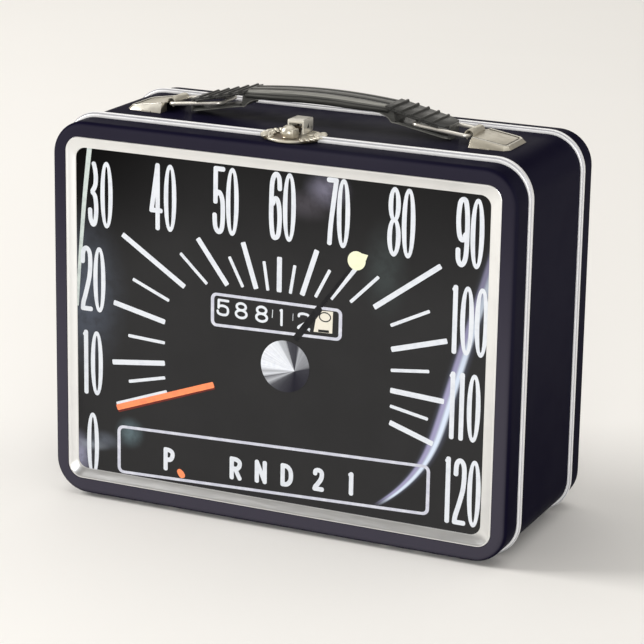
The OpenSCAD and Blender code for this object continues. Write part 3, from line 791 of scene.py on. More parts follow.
def make_shells():
    """Pressings, band, neck, beads and window frames."""
    case_y, rear_y = CASE_HIGH.y, BACK_HIGH.y
    lid = make_piece("lid_pressing", tray_shape(LID_LOW.y, 1, LID_HIGH.y - LID_LOW.y), "navy_enamel",
                     "lid", ["lid_shell"])
    boolean(lid, hinge_notches())
    make_piece("case_wall", band_shape(CASE_LOW.y, case_y), "navy_enamel", "case", ["case_band"])
    make_piece("back_pressing", tray_shape(rear_y, -1, rear_y - case_y), "navy_enamel", "case",
               ["back_shell"])
    make_piece("neck_collar", neck_shape(), "neck_tin", "case", ["case_neck"])
    bead = make_piece("lid_bead", bead_shape(SEAM_Y, 2.05, 1.1, 2.0, BEAD_R), "bead_tin", "lid",
                      ["lid_rim_bead"])
    half = ROSE_R - 0.4
    latch_gap = ((ROSE_X - half, SEAM_Y - 3, TOP_Z - 1), (ROSE_X + half, SEAM_Y + 3, TOP_Z + 5))
    boolean(bead, hinge_notches() + [latch_gap])
    make_piece("back_bead", bead_shape(case_y, 1.65, 1.1, 1.7, BEAD_R), "bead_tin", "case",
               ["back_rim_bead"])
    make_piece("lid_frame", bezel_shape(LID_LOW.y, 1), "frame_tin", "lid", ["lid_bezel"])
    make_piece("back_frame", bezel_shape(rear_y, -1), "frame_tin", "case", ["back_bezel"])


# ---------- dial picture ----------

DIAL_Z0 = CASE_LOW.z              # heights on the dial are measured from the sheet's underside
INK = 0.03                        # how far the ink stands over the plate
ROOT = -0.02                      # how far it reaches into the plate
DIAL_CENTRE = (1, 67)             # where all the ticks point
DIGIT_H, DIGIT_STROKE = 27.4, 1.95
# width of each digit and the space after it
DIGIT_WIDTHS = {"1": (3.4, 0.5), "3": (4.8, 1.0), "4": (5.8, 0.75), "7": (5.2, -0.75)}
OTHER_WIDTH = (5.6, 0.35)

# each number, with its left edge and its foot
NUMBERS = (("0", -86.2, 7.6), ("10", -88, 42.8), ("20", -88.6, 78.4), ("30", -84.9, 114.1),
           ("40", -56.8, 116.1), ("50", -28.6, 117.8), ("60", -3.8, 118.4), ("70", 20.8, 118.7),
           ("80", 46.6, 118), ("90", 74.8, 117.3), ("100", 73.8, 82.7), ("110", 73.8, 48.2),
           ("120", 73, 13.6))
# direction and outer end of each long tick, from the dial's centre
LONG_TICKS = ((200.1, 77.8), (186.7, 75.5), (167.4, 76.1), (147, 83.6), (126.9, 60.1), (108.2, 51.4),
              (90, 44.8), (72, 52.1), (53.5, 58), (36.1, 84.4), (15.9, 74.5), (-3.3, 71.2), (-18.2, 70.4))
POINTED_AT = 8                    # the tick under the pointer's tip, drawn thinner
# odometer digits with their left edges, and gear letters with left edge, height and width
ODOMETER = (("5", -26.6), ("8", -18.4), ("8", -9.4), ("1", 0.9), ("2", 9))
GEARS = (("P", -50.4, 10, 5), ("R", -20.2, 9.8, 5.4), ("N", -8.9, 9.8, 5.4), ("D", 2.6, 9.8, 5.4),
         ("2", 16.8, 9.8, 5), ("1", 32, 9.8, 3.2))
# tone of the hub's print by direction in degrees
HUB_TONES = ((0, 0.03), (8, 0.25), (52, 0.42), (58, 0.03), (84, 0.06), (90, 0.45), (104, 0.6), (110, 0.92),
             (185, 1.0), (196, 0.45), (204, 0.8), (210, 0.2), (222, 0.5), (232, 0.1), (250, 0.04),
             (290, 0.0), (360, 0.03))
HUB_WEDGES = 120

SIX = ((0.98, 0.76), (0.9, 0.94), (0.5, 1), (0.1, 0.88), (0, 0.55), (0.02, 0.25), (0.2, 0.04), (0.5, 0),
       (0.86, 0.06), (1, 0.3), (0.86, 0.54), (0.5, 0.62), (0.12, 0.52))
STEM = ("line", ((0, 0), (0, 1)))
BOWL = ("curve", ((0, 1), (0.6, 0.98), (0.98, 0.87), (1, 0.68), (0.7, 0.5), (0, 0.47)))
# strokes of each sign in a unit box: "line" is straight, "curve" smooth and "oval" closed
SIGNS = {
    "0": [("oval", (0.5, 0.5, 0.5, 0.5, 0.85))],
    "1": [("line", ((0.5, 0), (0.5, 1))), ("line", ((0.5, 0.985), (0.25, 0.97)))],
    "2": [("curve", ((0.02, 0.76), (0.1, 0.94), (0.5, 1), (0.9, 0.93), (0.98, 0.74), (0.84, 0.52),
                     (0.4, 0.26), (0.08, 0.1), (0, 0))), ("line", ((0, 0), (1, 0)))],
    "3": [("curve", ((0.62, 1), (0.86, 0.9), (0.98, 0.76), (0.84, 0.63), (0.36, 0.53))),
          ("curve", ((0.36, 0.53), (0.84, 0.45), (1, 0.25), (0.82, 0.05), (0.45, 0), (0.08, 0.09),
                     (0, 0.25)))],
    "4": [("line", ((0.72, 0), (0.72, 1))), ("line", ((0.7, 1), (0, 0.28))),
          ("line", ((0, 0.28), (1.05, 0.28)))],
    "5": [("line", ((0.12, 1), (1, 1))), ("line", ((0.12, 1), (0.1, 0.48))),
          ("curve", ((0.16, 0.59), (0.55, 0.63), (0.92, 0.52), (1, 0.28), (0.88, 0.06), (0.5, 0),
                     (0.1, 0.08), (0, 0.28)))],
    "6": [("curve", SIX)],
    "7": [("line", ((0, 1), (0.95, 1))), ("curve", ((0.95, 1), (0.62, 0.66), (0.3, 0.3), (0.16, 0)))],
    "8": [("oval", (0.5, 0.765, 0.43, 0.235, 1)), ("oval", (0.5, 0.265, 0.5, 0.265, 1))],
    "9": [("curve", tuple((1 - u, 1 - v) for u, v in SIX))],
    "P": [STEM, BOWL],
    "R": [STEM, BOWL, ("line", ((0.45, 0.47), (1, 0)))],
    "N": [STEM, ("line", ((1, 0), (1, 1))), ("line", ((0, 1), (1, 0)))],
    "D": [STEM, ("curve", ((0, 1), (0.6, 0.96), (1, 0.72), (1, 0.28), (0.6, 0.04), (0, 0)))],
}


def oval(cu, cv, ru, rv, power=0.85):
    """A closed line round a centre; a power under 1 makes its sides squarer."""
    unit = arc_points(0, 0, 1, 0, 360, 44)[:-1]
    return [(cu + ru * math.copysign(abs(c) ** power, c), cv + rv * s) for c, s in unit]


class Dial:
    """Draws on one picture plate; flip is -1 on the back, where x runs the other way."""

    def __init__(self, plate_y, flip):
        self.plate_y = plate_y
        self.flip = flip
        self.level = 0

    def point(self, x, z, height):
        return (self.flip * x, self.plate_y - self.flip * height, z + DIAL_Z0)

    def next_height(self):
        """Each stroke is a hair higher than the last, so none share a plane."""
        self.level = (self.level + 1) % 9
        return INK + 0.004 * self.level

    def stroke(self, shape, line, width, closed=False, rounding=0.42, end_width=None, over=0, longer=0):
        """A painted line, from width to end_width."""
        height = self.next_height() + over
        line = [Vector(p) for p in line]
        n = len(line)
        end_width = end_width or width
        stations = []
        for i, point in enumerate(line):
            along = direction_at(line, i, closed)
            stations.append((point, along, (width + (end_width - width) * i / (n - 1)) / 2))
        if not closed:
            stations = round_ends(stations, rounding, longer)
        edges = []
        for sign in (1, -1):
            edge = []
            for point, along, half in stations:
                spot = point + Vector((-along.y, along.x)) * half * sign
                edge.append(edge[-1] if edge and (spot - edge[-1]).dot(along) < 0 else spot)
            edges.append(edge)
        return self.ribbon(shape, *edges, height, closed)

    def ribbon(self, shape, left, right, height, closed):
        """Ink between two edges of (x, z) points, rising a hair so that it may cross itself."""
        rings = []
        for i, (a, b) in enumerate(zip(left, right)):
            top = height + (0 if closed else 0.003 * i / len(left))
            rings.append([self.point(p[0], p[1], h) for p, h in ((a, ROOT), (a, top), (b, top), (b, ROOT))])
        return shape.loft(rings, closed)

    def loop(self, shape, x, z, ru, rv, power, width):
        """A closed oval line, its inner and outer edges both true ovals."""
        outer, inner = (oval(x, z, ru + g, rv + g, power) for g in (width / 2, -width / 2))
        self.ribbon(shape, outer, inner, self.next_height(), True)

    def sign(self, shape, char, x, z, w, h, width):
        """One digit or letter, x and z being its lower left corner and w and h its outer size."""
        w, h, x, z = w - width, h - width, x + width / 2, z + width / 2
        for kind, points in SIGNS[char]:
            if kind == "oval":
                u, v, ru, rv, power = points
                self.loop(shape, x + u * w, z + v * h, ru * w, rv * h, power, width)
                continue
            if kind == "curve":
                points = smooth_line(points, steps=5)
            line = [(x + p[0] * w, z + p[1] * h) for p in points]
            self.stroke(shape, line, width, longer=width / 2 if kind == "line" else width / 4)

    def flat(self, shape, outline, height, tone=1.0):
        """A filled patch with an outline of (x, z) points."""
        return shape.loft([[self.point(x, z, h) for x, z in outline] for h in (ROOT, height)], tone=tone)

    def numbers(self, shape):
        for text, x, z in NUMBERS:
            for char in text:
                width, gap = DIGIT_WIDTHS.get(char, OTHER_WIDTH)
                self.sign(shape, char, x, z, width, DIGIT_H, DIGIT_STROKE)
                x += width + gap

    def ray(self, angle, radius):
        a = math.radians(angle)
        return (DIAL_CENTRE[0] + radius * math.cos(a), DIAL_CENTRE[1] + radius * math.sin(a))

    def on_track(self, angle, left, right, height):
        """Where a ray meets a rounded track about the dial's centre, squarer on its right."""
        c, s = math.cos(math.radians(angle)), math.sin(math.radians(angle))
        half, power = (right, 9) if c > 0 else (left, 4.6)
        return self.ray(angle, (abs(c / half) ** power + abs(s / height) ** power) ** (-1 / power))

    def ticks(self, shape):
        inner = lambda angle: self.on_track(angle, 50.8, 48.4, 30.5)
        for i, (angle, radius) in enumerate(LONG_TICKS):
            width, end = (1.9, 1.1) if i == POINTED_AT else (2.15, 2.15)
            self.stroke(shape, [self.ray(angle, radius), inner(angle)], width, rounding=0.2, end_width=end)
        for (a, _), (b, _) in zip(LONG_TICKS, LONG_TICKS[1:]):
            angle = (a + b) / 2
            outer = self.on_track(angle, 67.6, 64.6, 42.3)
            self.stroke(shape, [outer, inner(angle)], 1.35, rounding=0.3)

    def border(self, shape, x0, x1, z0, z1, rise, taper, radius):
        """A rounded frame, thicker at its upright sides; it rises and narrows to the right."""
        w, h = x1 - x0, z1 - z0
        middle, level = (x0 + x1) / 2, (z0 + z1) / 2
        for grow in (0, 0.5):
            line = rounded_outline(w + grow, h, radius, level, turn=6, side=4)
            line = [(x + middle, z + (rise + (level - z) * taper) * x / w) for x, z in line]
            self.stroke(shape, line, 1.2, closed=True)

    def borders(self, shape):
        self.border(shape, -28.2, 27.5, 81, 93.3, 0.9, 0.08, 1.9)
        self.border(shape, -71, 66.3, 13.6, 33.2, 4.4, 0, 2.2)

    def letters(self, shape):
        for char, x in ODOMETER:
            self.sign(shape, char, x, 83.8 - 0.022 * x, 2.6 if char == "1" else 5.7, 7, 1.05)
        for line, width in (([(14.3, 83.6), (14.2, 83.3)], 0.8), ([(-1.7, 90), (-1.9, 86.6)], 0.3),
                            ([(7.2, 89.6), (7.1, 86.6)], 0.2)):
            self.stroke(shape, line, width)
        for char, x, h, w in GEARS:
            self.sign(shape, char, x, 17 + 0.034 * x, w, h, 1.9)

    def glint(self, shape):
        line = smooth_line([(-84, 146.4), (-86.3, 127), (-87.9, 110), (-89.2, 95), (-90.2, 80)])
        self.stroke(shape, line, 2.2, end_width=1.2, rounding=0.05)

    def bar_edge(self, shape):
        self.stroke(shape, [(-71.6, 38.2), (-27.4, 54.6)], 2.6, rounding=0.2)

    def bar(self, shape):
        """The bar, and a small lamp below it."""
        self.stroke(shape, [(-72, 39), (-27.6, 55.2)], 2.5, rounding=0.2, over=0.04)
        lamp = [(-44.2, 15.8), (-42.9, 17), (-41, 15.6), (-40.6, 13.8), (-42.6, 13.2)]
        self.flat(shape, smooth_line(lamp, True, 3), 0.05)

    def needle(self, shape):
        """The pointer, widest over the odometer."""
        line = [(8.1, 78.9), (10, 81.5), (19, 93.9), (31.2, 110.8)]
        self.stroke(shape, line[:3], 2.7, end_width=2.9, over=0.04)
        self.stroke(shape, line[2:], 1.7, end_width=0.6, over=0.04)

    def tip(self, shape):
        """Round luminous end of the pointer, with its small tail."""
        self.flat(shape, arc_points(34, 114.4, 3.8, 0, 360, 32)[:-1], 0.1)
        self.flat(shape, [(34.4, 117.8), (38.8, 117.2), (38, 115.2), (36, 112)], 0.095)

    def last_wheel(self, shape):
        """Pale ground of the odometer's last wheel."""
        self.flat(shape, [(16.2, 83.4), (24.2, 83.7), (24.4, 92.6), (19.8, 92.4), (17, 88.4)], 0.068)

    def wheel(self, shape):
        """Half-turned digit on the last wheel."""
        self.stroke(shape, oval(21, 90, 2.4, 1.8, 1), 0.45, closed=True, over=0.05)
        self.stroke(shape, [(18.2, 84.1), (22.8, 84.3)], 1.0, rounding=0.1, over=0.05)

    def hub(self, shape):
        """Spun hub: thin wedges about an off-centre point, bright on the left and dark on the right."""
        apex, edge = (8.2, 66), arc_points(4, 67.4, 10.6, 0, 360, HUB_WEDGES)
        for i in range(HUB_WEDGES):
            tone = between(HUB_TONES, 360 * i / HUB_WEDGES) * RNG.uniform(0.82, 1.0)
            self.flat(shape, [apex, edge[i], edge[i + 1]], 0.09, tone)


def round_ends(stations, rounding, longer):
    """Makes a stroke longer at both ends, with round corners."""
    ends = []
    for end, sign in ((0, -1), (-1, 1)):
        point, along, half = stations[end]
        radius = 2 * half * rounding
        extra = [(point + along * sign * (longer - radius), along, half)]
        for run, rise in arc_points(0, 0, radius, 0, 90, 3)[1:]:
            at = point + along * sign * (rise - radius + longer)
            extra.append((at, along, half - radius + run * 0.999))
        ends.append(extra)
    return ends[0][::-1] + stations[1:-1] + ends[1]


def between(stops, value):
    """Straight-line value between listed stops."""
    for (a, va), (b, vb) in zip(stops, stops[1:]):
        if a <= value <= b:
            return va + (vb - va) * (value - a) / (b - a)
    return stops[-1][1]


def make_dial(side, plate_y, flip, body, plate_node):
    """One picture: the plate and all that is printed on it."""
    dial = Dial(plate_y, flip)
    ground_paint(side + "_ground", flip)
    make_piece(side + "_picture_plate", plate_shape(plate_y, flip), side + "_ground", body, [plate_node],
               "picture_print")
    for name, look, draw in (
            ("numbers", "white_ink", dial.numbers), ("ticks", "white_ink", dial.ticks),
            ("borders", "pale_ink", dial.borders), ("letters", "white_ink", dial.letters),
            ("glint", "mist_ink", dial.glint), ("bar_edge", "red_ink", dial.bar_edge),
            ("bar", "orange_ink", dial.bar), ("needle", "black_ink", dial.needle),
            ("tip", "cream_ink", dial.tip), ("last_wheel", "ivory_ink", dial.last_wheel),
            ("wheel", "black_ink", dial.wheel), ("hub", "hub_print", dial.hub)):
        shape = Shape()
        draw(shape)
        make_piece(f"{side}_dial_{name}", shape, look, body, slot="picture_print")


# ---------- handle, links and brackets ----------

GRIP_HALF = 31.5
ARCH_SAG = 1.8
ARCH_R = (GRIP_HALF ** 2 + ARCH_SAG ** 2) / (2 * ARCH_SAG)
END_X0, END_X1 = 30.5, GRIP_HIGH.x
RIB_X0, RIB_PITCH, RIB_COUNT = 33.2, 4.42, 5
# painted light as tones: a grip's cut ends, a ribbed end, the highlight on the edge round a foot, and the
# foot itself
CUT_LIGHT, RIB_LIGHT, EDGE_HIGHLIGHT, FOOT_LIGHT = 0.2, 0.13, 0.75, 0.3

# section of the grip as (y, depth, painted light from there to the next point): a flat crown between two
# grooves, rolled edges and a hollow underside; painted light makes the edges paler than the grooves
GRIP_SECTION = ((0, 0.02, 0.3), (1.6, 0.05, 0.26), (2.5, 0.25, 0.08), (2.9, 0.75, 0.03), (3.6, 0.8, 0.08),
                (4.1, 0.3, 0.3), (4.8, 0.1, 0.34), (5.7, 0.2, 0.95), (6.5, 0.5, 0.75), (7.1, 1.15, 0.32),
                (7.4, 1.7, 0.12), (7.5, 2.2, 0.32), (7.45, 3, 0.14), (7.1, 3.9, 0.05), (6.6, 4.45, 0.12),
                (6.1, 4.6, 0.05), (5.6, 4.4, 0.03), (5.2, 3.9, 0.03), (4.2, 3.6, 0.05), (2, 3.45, 0.05))


def arch_point(x, depth, y):
    """A point under the arch's crown, square to it."""
    a = math.asin(x / ARCH_R)
    r = ARCH_R - depth
    return (r * math.sin(a), y, GRIP_HIGH.z - ARCH_R + r * math.cos(a))


def grip_shape():
    """The arch between the ribbed ends, thinner towards them."""
    right = [(y, depth) for y, depth, _ in GRIP_SECTION]
    outline = right + [(0, 3.4)] + [(-y, depth) for y, depth in right[:0:-1]]
    section_light = [share for _, _, share in GRIP_SECTION]
    rings = []
    steps = 36
    for i in range(steps + 1):
        x = GRIP_HALF * (2 * i / steps - 1)
        thin = 1 - 0.28 * min(max((abs(x) - 12) / 18, 0), 1) ** 2
        rings.append([arch_point(x, depth * thin, y) for y, depth in outline])
    shape = Shape().loft(rings)
    # tones paint light: paler on the edges and crown, darker in the grooves
    shape.tones = (section_light + section_light[::-1]) * steps + [CUT_LIGHT, CUT_LIGHT]
    return shape


def end_z(x):
    """Height of the handle's sloping ribbed end."""
    return TOP_Z + 11.7 - 0.235 * (x - RIB_X0)


def tongue_z(x):
    """Height of the underside of the tongue below it."""
    return TOP_Z + 0.6 + 0.186 * (END_X1 - x)


def both_edges(line):
    """A line of (x, y) points and its mirror image in y, as one outline."""
    return line + [(x, -y) for x, y in line[::-1]]


def rib_outline(x):
    """Rounded rib across a handle end, as (x, z) points."""
    z = end_z(x)
    crown = [(x + 0.58 * c, z + 0.6 * max(s, 0) ** 0.8) for c, s in arc_points(0, 0, 1, 180, 0, 8)]
    return [(x - 0.75, z - 0.35)] + crown + [(x + 0.75, z - 0.35)]


def ribbed_end():
    """One end of the handle: a sloped plate with ribs and side rails."""
    shape = Shape()
    plan = both_edges([(END_X0, 8.2), (END_X1 - 5, 8.5), (END_X1 - 1.2, 7.2), (END_X1 - 0.6, 5.4)])
    shape.loft([[(x, y, end_z(x) - d) for x, y in plan] for d in (0.8, 0)])
    for i in range(RIB_COUNT):
        half = 8.75 if i < RIB_COUNT - 1 else 8.3
        shape.prism(rib_outline(RIB_X0 + i * RIB_PITCH), -half, half)
    for side in (-1, 1):
        for i in range(RIB_COUNT - 1):
            x = RIB_X0 + (i + 0.5) * RIB_PITCH
            shape.ball((x, side * 8.2, end_z(x) - 0.75), 0.55, segments=10)
        rail = [(x0 + x1, side * 8.1, end_z(x0) - 1.1) for x0, x1 in ((END_X0, 0.5), (END_X1 - 4, 0))]
        shape.tube(smooth_line(rail, steps=8), 0.5, sides=10)
    # one low tone of painted light for the ribbed ends
    shape.tones = [RIB_LIGHT] * len(shape.faces)
    return shape


def foot_shape():
    """Flared foot, the tongue under the link and the wall that closes the end."""
    shape = Shape()
    inner = [(x, z + TOP_Z) for x, z in ((21, 9.2), (26.4, 8.7), (30.2, 7.2), (32, 5.5))]
    inner = smooth_line(inner + [(32.8, tongue_z(32.8))], steps=5)
    # thin tubes along the foot's edges get a pale tone, a painted highlight
    for side in (-1, 1):
        edge = [(x, side * 5.35, z) for x, z in inner]
        edge += [(x, side * 5.35, tongue_z(x) + 0.25) for x in (34, 40, 47, END_X1 - 3)]
        edge += [(END_X1 - 0.8, side * 3.7, tongue_z(END_X1) + 0.35)]
        shape.tube(smooth_line(edge, steps=3), 0.24, sides=8)
    edge_faces = len(shape.faces)
    foot = [tuple(p) for p in inner]
    foot += [(35, tongue_z(35)), (33.4, tongue_z(33) + 2), (33, end_z(33) - 0.4), (22.5, 12.2 + TOP_Z)]
    shape.prism(foot, -5.4, 5.4)
    tongue = both_edges([(33.6, 5.4), (END_X1 - 3, 5.4), (END_X1 - 0.6, 3.9), (END_X1, 2)])
    shape.loft([[(x, y, tongue_z(x) + d) for x, y in tongue] for d in (0, 1)])
    wall = [(END_X1 - 1, tongue_z(END_X1) + 0.3), (END_X1 - 0.1, tongue_z(END_X1) + 0.1),
            (END_X1 - 0.1, end_z(END_X1) - 0.1), (END_X1 - 1, end_z(END_X1 - 1) - 0.1)]
    shape.prism(wall, -4.6, 4.6)
    shape.tones = [EDGE_HIGHLIGHT] * edge_faces + [FOOT_LIGHT] * (len(shape.faces) - edge_faces)
    return shape


def make_handle():
    """The moulded handle in three pieces."""
    grip = make_piece("grip_arch", grip_shape(), "handle_plastic", "handle", ["handle_grip"])
    bevel(grip, 0.2, 2, 60)
    ends = make_piece("grip_ribbed_ends", ribbed_end().both_sides(), "handle_plastic", "handle")
    bevel(ends, 0.15, 2)
    feet = make_piece("grip_feet", foot_shape().both_sides(), "handle_plastic", "handle")
    bevel(feet, 0.25, 3)


def make_links():
    """Closed loops of wire, each from its pivot bar to its inner bar."""
    radius = LINK_HIGH.x - LINK_PIVOT.x
    reach = Vector((LINK_LOW.x + radius, 0, LINK_HIGH.z - radius)) - LINK_PIVOT
    along, length = reach.normalized(), reach.length
    plan = rounded_outline(length, 2 * (LINK_HIGH.y - radius), 2.2, 0, turn=8, side=8)
    path = [LINK_PIVOT + along * (x + length / 2) + Vector((0, y, 0)) for x, y in plan]
    right = Shape().tube(path, radius, closed=True)
    make_piece("wire_loop_right", right, "bright_wire", "right_link", ["link_right"])
    make_piece("wire_loop_left", right.mirrored(), "bright_wire", "left_link", ["link_left"])


BRACKET_X0 = BRACKET_LOW.x + 4
TAB_X0, TAB_X1 = 72, 76
# the right bracket's foot, crown and crease as (x, y), from its open end to its tip
OPEN_END = (BRACKET_X0 - 0.1, 6.3)
FOOT = [OPEN_END, (BRACKET_X0, BRACKET_HIGH.y), (81.7, BRACKET_HIGH.y - 0.9), (BRACKET_HIGH.x, 8.7)]
CROWN = [OPEN_END, (BRACKET_X0 + 0.5, 9.6), (81, 9.4), (82.4, 7.9)]
CREASE = ((BRACKET_X0 + 0.9, 9.4), (80.9, 9.2), (82.2, 7.75))


def bracket_top(x):
    """Height of the bracket's sloping top."""
    return TOP_Z + 3.6 - 0.16 * (x - BRACKET_X0 - 1.5)


def bracket_crease(inset, radius):
    """A line around the right bracket's top, inset from its edge."""
    (x0, y0), (x1, y1), (x2, y2) = CREASE
    line = both_edges([(x0, inset - y0), (x1 - 0.6 * inset, inset - y1), (x2 - inset, inset - y2)])
    return Shape().tube([(x, y, bracket_top(x)) for x, y in line], radius, sides=10)


def bracket_skin():
    """Outer skin of the right bracket: a hipped block, open below and round its tongue."""
    foot, crown = both_edges(FOOT), both_edges(CROWN)
    n = len(foot)
    points = [(x, y, TOP_Z + 0.02) for x, y in foot] + [(x, y, bracket_top(x)) for x, y in crown]
    faces = [[i, i + 1, n + i + 1, n + i] for i in range(n - 1)] + [list(range(n, 2 * n))]
    return Shape().add(points, faces)


def bracket_tongue():
    """Strip rolled over the wire, and the two tabs bent over inside the case."""
    shape = Shape()
    x0, z0, radius, thick, half = LINK_PIVOT.x, TOP_Z + 3.8, 2.03, 0.5, 6
    outer, inner = ([(x0 + 4.2, tail)] + arc_points(x0, z0, r, -12, 250, 26)
                    for tail, r in ((TOP_Z + 3.45, radius), (TOP_Z + 2.95, radius - thick)))
    shape.loft([[(o[0], -half, o[1]), (o[0], half, o[1]), (i[0], half, i[1]), (i[0], -half, i[1])]
                for o, i in zip(outer, inner)])
    for side in (-1, 1):
        for width, top in ((0.6, TOP_Z + 0.5), (4, BRACKET_LOW.z + 0.6)):
            y0, y1 = sorted((side * BRACKET_HIGH.y, side * (BRACKET_HIGH.y - width)))
            shape.brick((TAB_X0, y0, BRACKET_LOW.z), (TAB_X1, y1, top))
    return shape


def make_brackets():
    """Each end's bracket and tongue, with a painted highlight and shade line at the crease; the left is
    mirrored.
    """
    for side in ("right", "left"):
        here = (lambda shape: shape) if side == "right" else Shape.mirrored
        cap = make_piece("bracket_cap_" + side, here(bracket_skin()), "aged_nickel", "case",
                         ["bracket_" + side])
        wall = cap.modifiers.new("wall", "SOLIDIFY")
        wall.thickness = 0.55 * MM
        wall.offset = -1
        bake_modifiers(cap)
        bevel(cap, 0.3, 3, 20)
        rolled = make_piece("bracket_tongue_" + side, here(bracket_tongue()), "aged_nickel", "case")
        bevel(rolled, 0.12, 2, 50)
        # painted highlight: a pale tube along the crease
        make_piece("bracket_crease_" + side, here(bracket_crease(0, 0.27)), "lit_nickel", "case")
        # painted shade: a dark tube just inside the crease
        make_piece("bracket_crease_shade_" + side, here(bracket_crease(0.95, 0.16)), "painted_shade", "case")


# ---------- latch ----------

DISC_R = DISC_HIGH.x
DISC_Y = DISC_LOW.y + DISC_R
DISC_Z = TOP_Z + 0.05
DISC_SPLIT = (DISC_HIGH.y, DISC_CASE_LOW.y)
ROSE_X, ROSE_Y, ROSE_R = 0.9, DISC_Y + 1.2, DISC_R - 1.2
# section of the plate, as distance in from its rim and height
DISC_SECTION = ((1.2, 0), (0.5, 0.1), (0.1, 0.5), (0.05, 0.95), (0.35, 1.3), (0.85, 1.32), (1.25, 1.05),
                (1.9, 0.8), (2.6, 0.95), (3.1, 0.92), (3.7, 0.66), (5, 0.55))
# distance in from the rim, length, width, height, level, first angle, step and count of each row
LEAF_ROWS = ((-0.1, 1.5, 0.8, 0.55, 1.45, 0, 11, 4), (1.6, 1.0, 0.7, 0.5, 1.35, 6, 12, 4),
             (3.0, 0.8, 0.55, 0.45, 1.2, 0, 14, 3))
# section of the catch, as share of its radius and height
CATCH_SECTION = ((0.78, 0), (0.86, 0.25), (0.8, 0.5), (0.83, 0.8), (0.97, 1.3), (1, 2.0), (0.97, 2.7),
                 (0.86, 3.5), (0.68, 4.2), (0.42, 4.75), (0.2, 4.93))
RIVET_SECTION = ((0.05, 0), (0.8, 0.05), (1.4, 0.22), (1.7, 0.5), (1.6, 0.62), (1.0, 0.64), (1.0, 1.5),
                 (1.6, 1.62), (1.68, 1.8), (1.3, 2.08), (0.05, 2.1))
HEAD_SECTION = ((1.72, 0), (1.7, 0.16), (1.45, 0.36), (1.0, 0.47), (0.5, 0.5), (0.05, 0.51))


def disc_shape():
    """Dished plate with a rolled rim."""
    profile = [(0.05, 0)] + [(ROSE_R - inset, z) for inset, z in DISC_SECTION] + [(0.05, 0.7)]
    return Shape().lathe(profile, (ROSE_X, ROSE_Y, DISC_Z), segments=96)


def leaf(shape, centre, angle, size):
    """A flat oval leaf that points away from the plate's middle."""
    unit = Shape().ball((0, 0, 0), 1)
    turn = Matrix.Rotation(angle, 3, "Z")
    shape.add([turn @ (p * Vector(size)) + Vector(centre) for p in unit.points], unit.faces)


def petals(in_front):
    """Rows of leaves at the left and right of the plate; none reaches across the split."""
    shape = Shape()
    for middle in (-6, 174):
        for inset, length, width, height, level, first, step, count in LEAF_ROWS:
            for k in range(-count, count + 1):
                a = math.radians(middle + first + step * k)
                x, y = ROSE_X + (ROSE_R - inset) * math.cos(a), ROSE_Y + (ROSE_R - inset) * math.sin(a)
                if (y < sum(DISC_SPLIT) / 2) != in_front:
                    continue
                reach = math.hypot(length * math.sin(a), width * math.cos(a)) + 0.03
                y = min(y, DISC_SPLIT[0] - reach) if in_front else max(y, DISC_SPLIT[1] + reach)
                leaf(shape, (x, y, DISC_Z + level), a, (length, width, height))
    return shape


def catch_shape():
    """Round catch with its hooked tail."""
    low, high = CATCH_LOW, CATCH_HIGH
    r = (high.x - low.x) / 2
    x0, y0 = (low.x + high.x) / 2, low.y + r
    profile = [(r * share, z) for share, z in CATCH_SECTION] + [(0.05, 4.97)]
    shape = Shape().lathe(profile, (x0, y0, DISC_Z + 0.7), segments=40)
    facet = ((0.6, -2.9), (2.9, -2.3), (3.9, -0.6), (3.7, 1.2), (0.6, 1.4))
    shape.loft([[(x0 + x, y0 + y, z) for x, y in facet] for z in (DISC_Z + 0.9, DISC_Z + 4.4)])
    half, foot = 1.6, DISC_Z + 1.0
    shape.brick((-half, y0, foot), (half, high.y, foot + 0.8))
    return shape.brick((-half, high.y - 0.8, foot), (half, high.y, HASP_HIGH.z - 2.5))


def cheek_outline():
    """Side of the hasp, as (y, z), rounded about its pin."""
    y0, z0, y1, z1 = HASP_LOW.y, HASP_LOW.z, HASP_HIGH.y, HASP_HIGH.z
    line = [(y0, z0 + 0.3), (y0 + 0.3, z0), (HASP_PIVOT.y - 1.2, z0)]
    line += arc_points(HASP_PIVOT.y, HASP_PIVOT.z, y1 - HASP_PIVOT.y, -75, 0, 6)
    return line + [(y1, z1 - 0.6), (y1 - 0.6, z1), (y0 + 0.4, z1), (y0, z1 - 0.4)]


def make_hasp():
    """Box-shaped hasp: two cheeks, a top with a lip folded down in front, and a dark mark on each side,
    painted shade.
    """
    x1, y0, y1, z1 = HASP_HIGH.x, HASP_LOW.y, HASP_HIGH.y, HASP_HIGH.z
    wall = 0.7
    shape = Shape()
    for side in (-1, 1):
        shape.across(cheek_outline(), *sorted((side * x1, side * (x1 - wall))))
    shape.brick((-x1 + 0.1, y0 + 0.1, z1 - wall), (x1 - 0.1, y1 - 0.3, z1))
    shape.brick((-x1 + 0.1, y0 + 0.02, z1 - 1.4), (x1 - 0.1, y0 + wall, z1 - 0.1))
    bevel(make_piece("hasp_box", shape, "lit_nickel", "hasp", ["latch_hasp"]), 0.14, 2, 50)
    y, z = (y0 + y1) / 2 - 0.4, (HASP_LOW.z + z1) / 2 + 0.1
    mark = [(y - 1.0, z - 0.95), (y + 1.0, z - 0.95), (y + 0.25, z + 1.0)]
    # painted shade: a dark triangle on each cheek for the inside of a hole
    holes = Shape()
    for x in (-x1, x1 - 0.3):
        holes.across(mark, x - 0.02, x + 0.32)
    bevel(make_piece("hasp_hole", holes, "painted_shade", "hasp"), 0.02, 1)


def hasp_ears():
    """Two ears that hold the hasp's pin."""
    ears = Shape()
    y, foot, radius = HASP_PIVOT.y, DISC_Z + 0.4, 1.2
    line = [(y - radius, foot)] + arc_points(y, HASP_PIVOT.z, radius, 180, 0, 10) + [(y + radius, foot)]
    for side in (-1, 1):
        ears.across(line, *sorted((side * (HASP_HIGH.x - 1.0), side * (HASP_HIGH.x - 1.7))))
    return ears


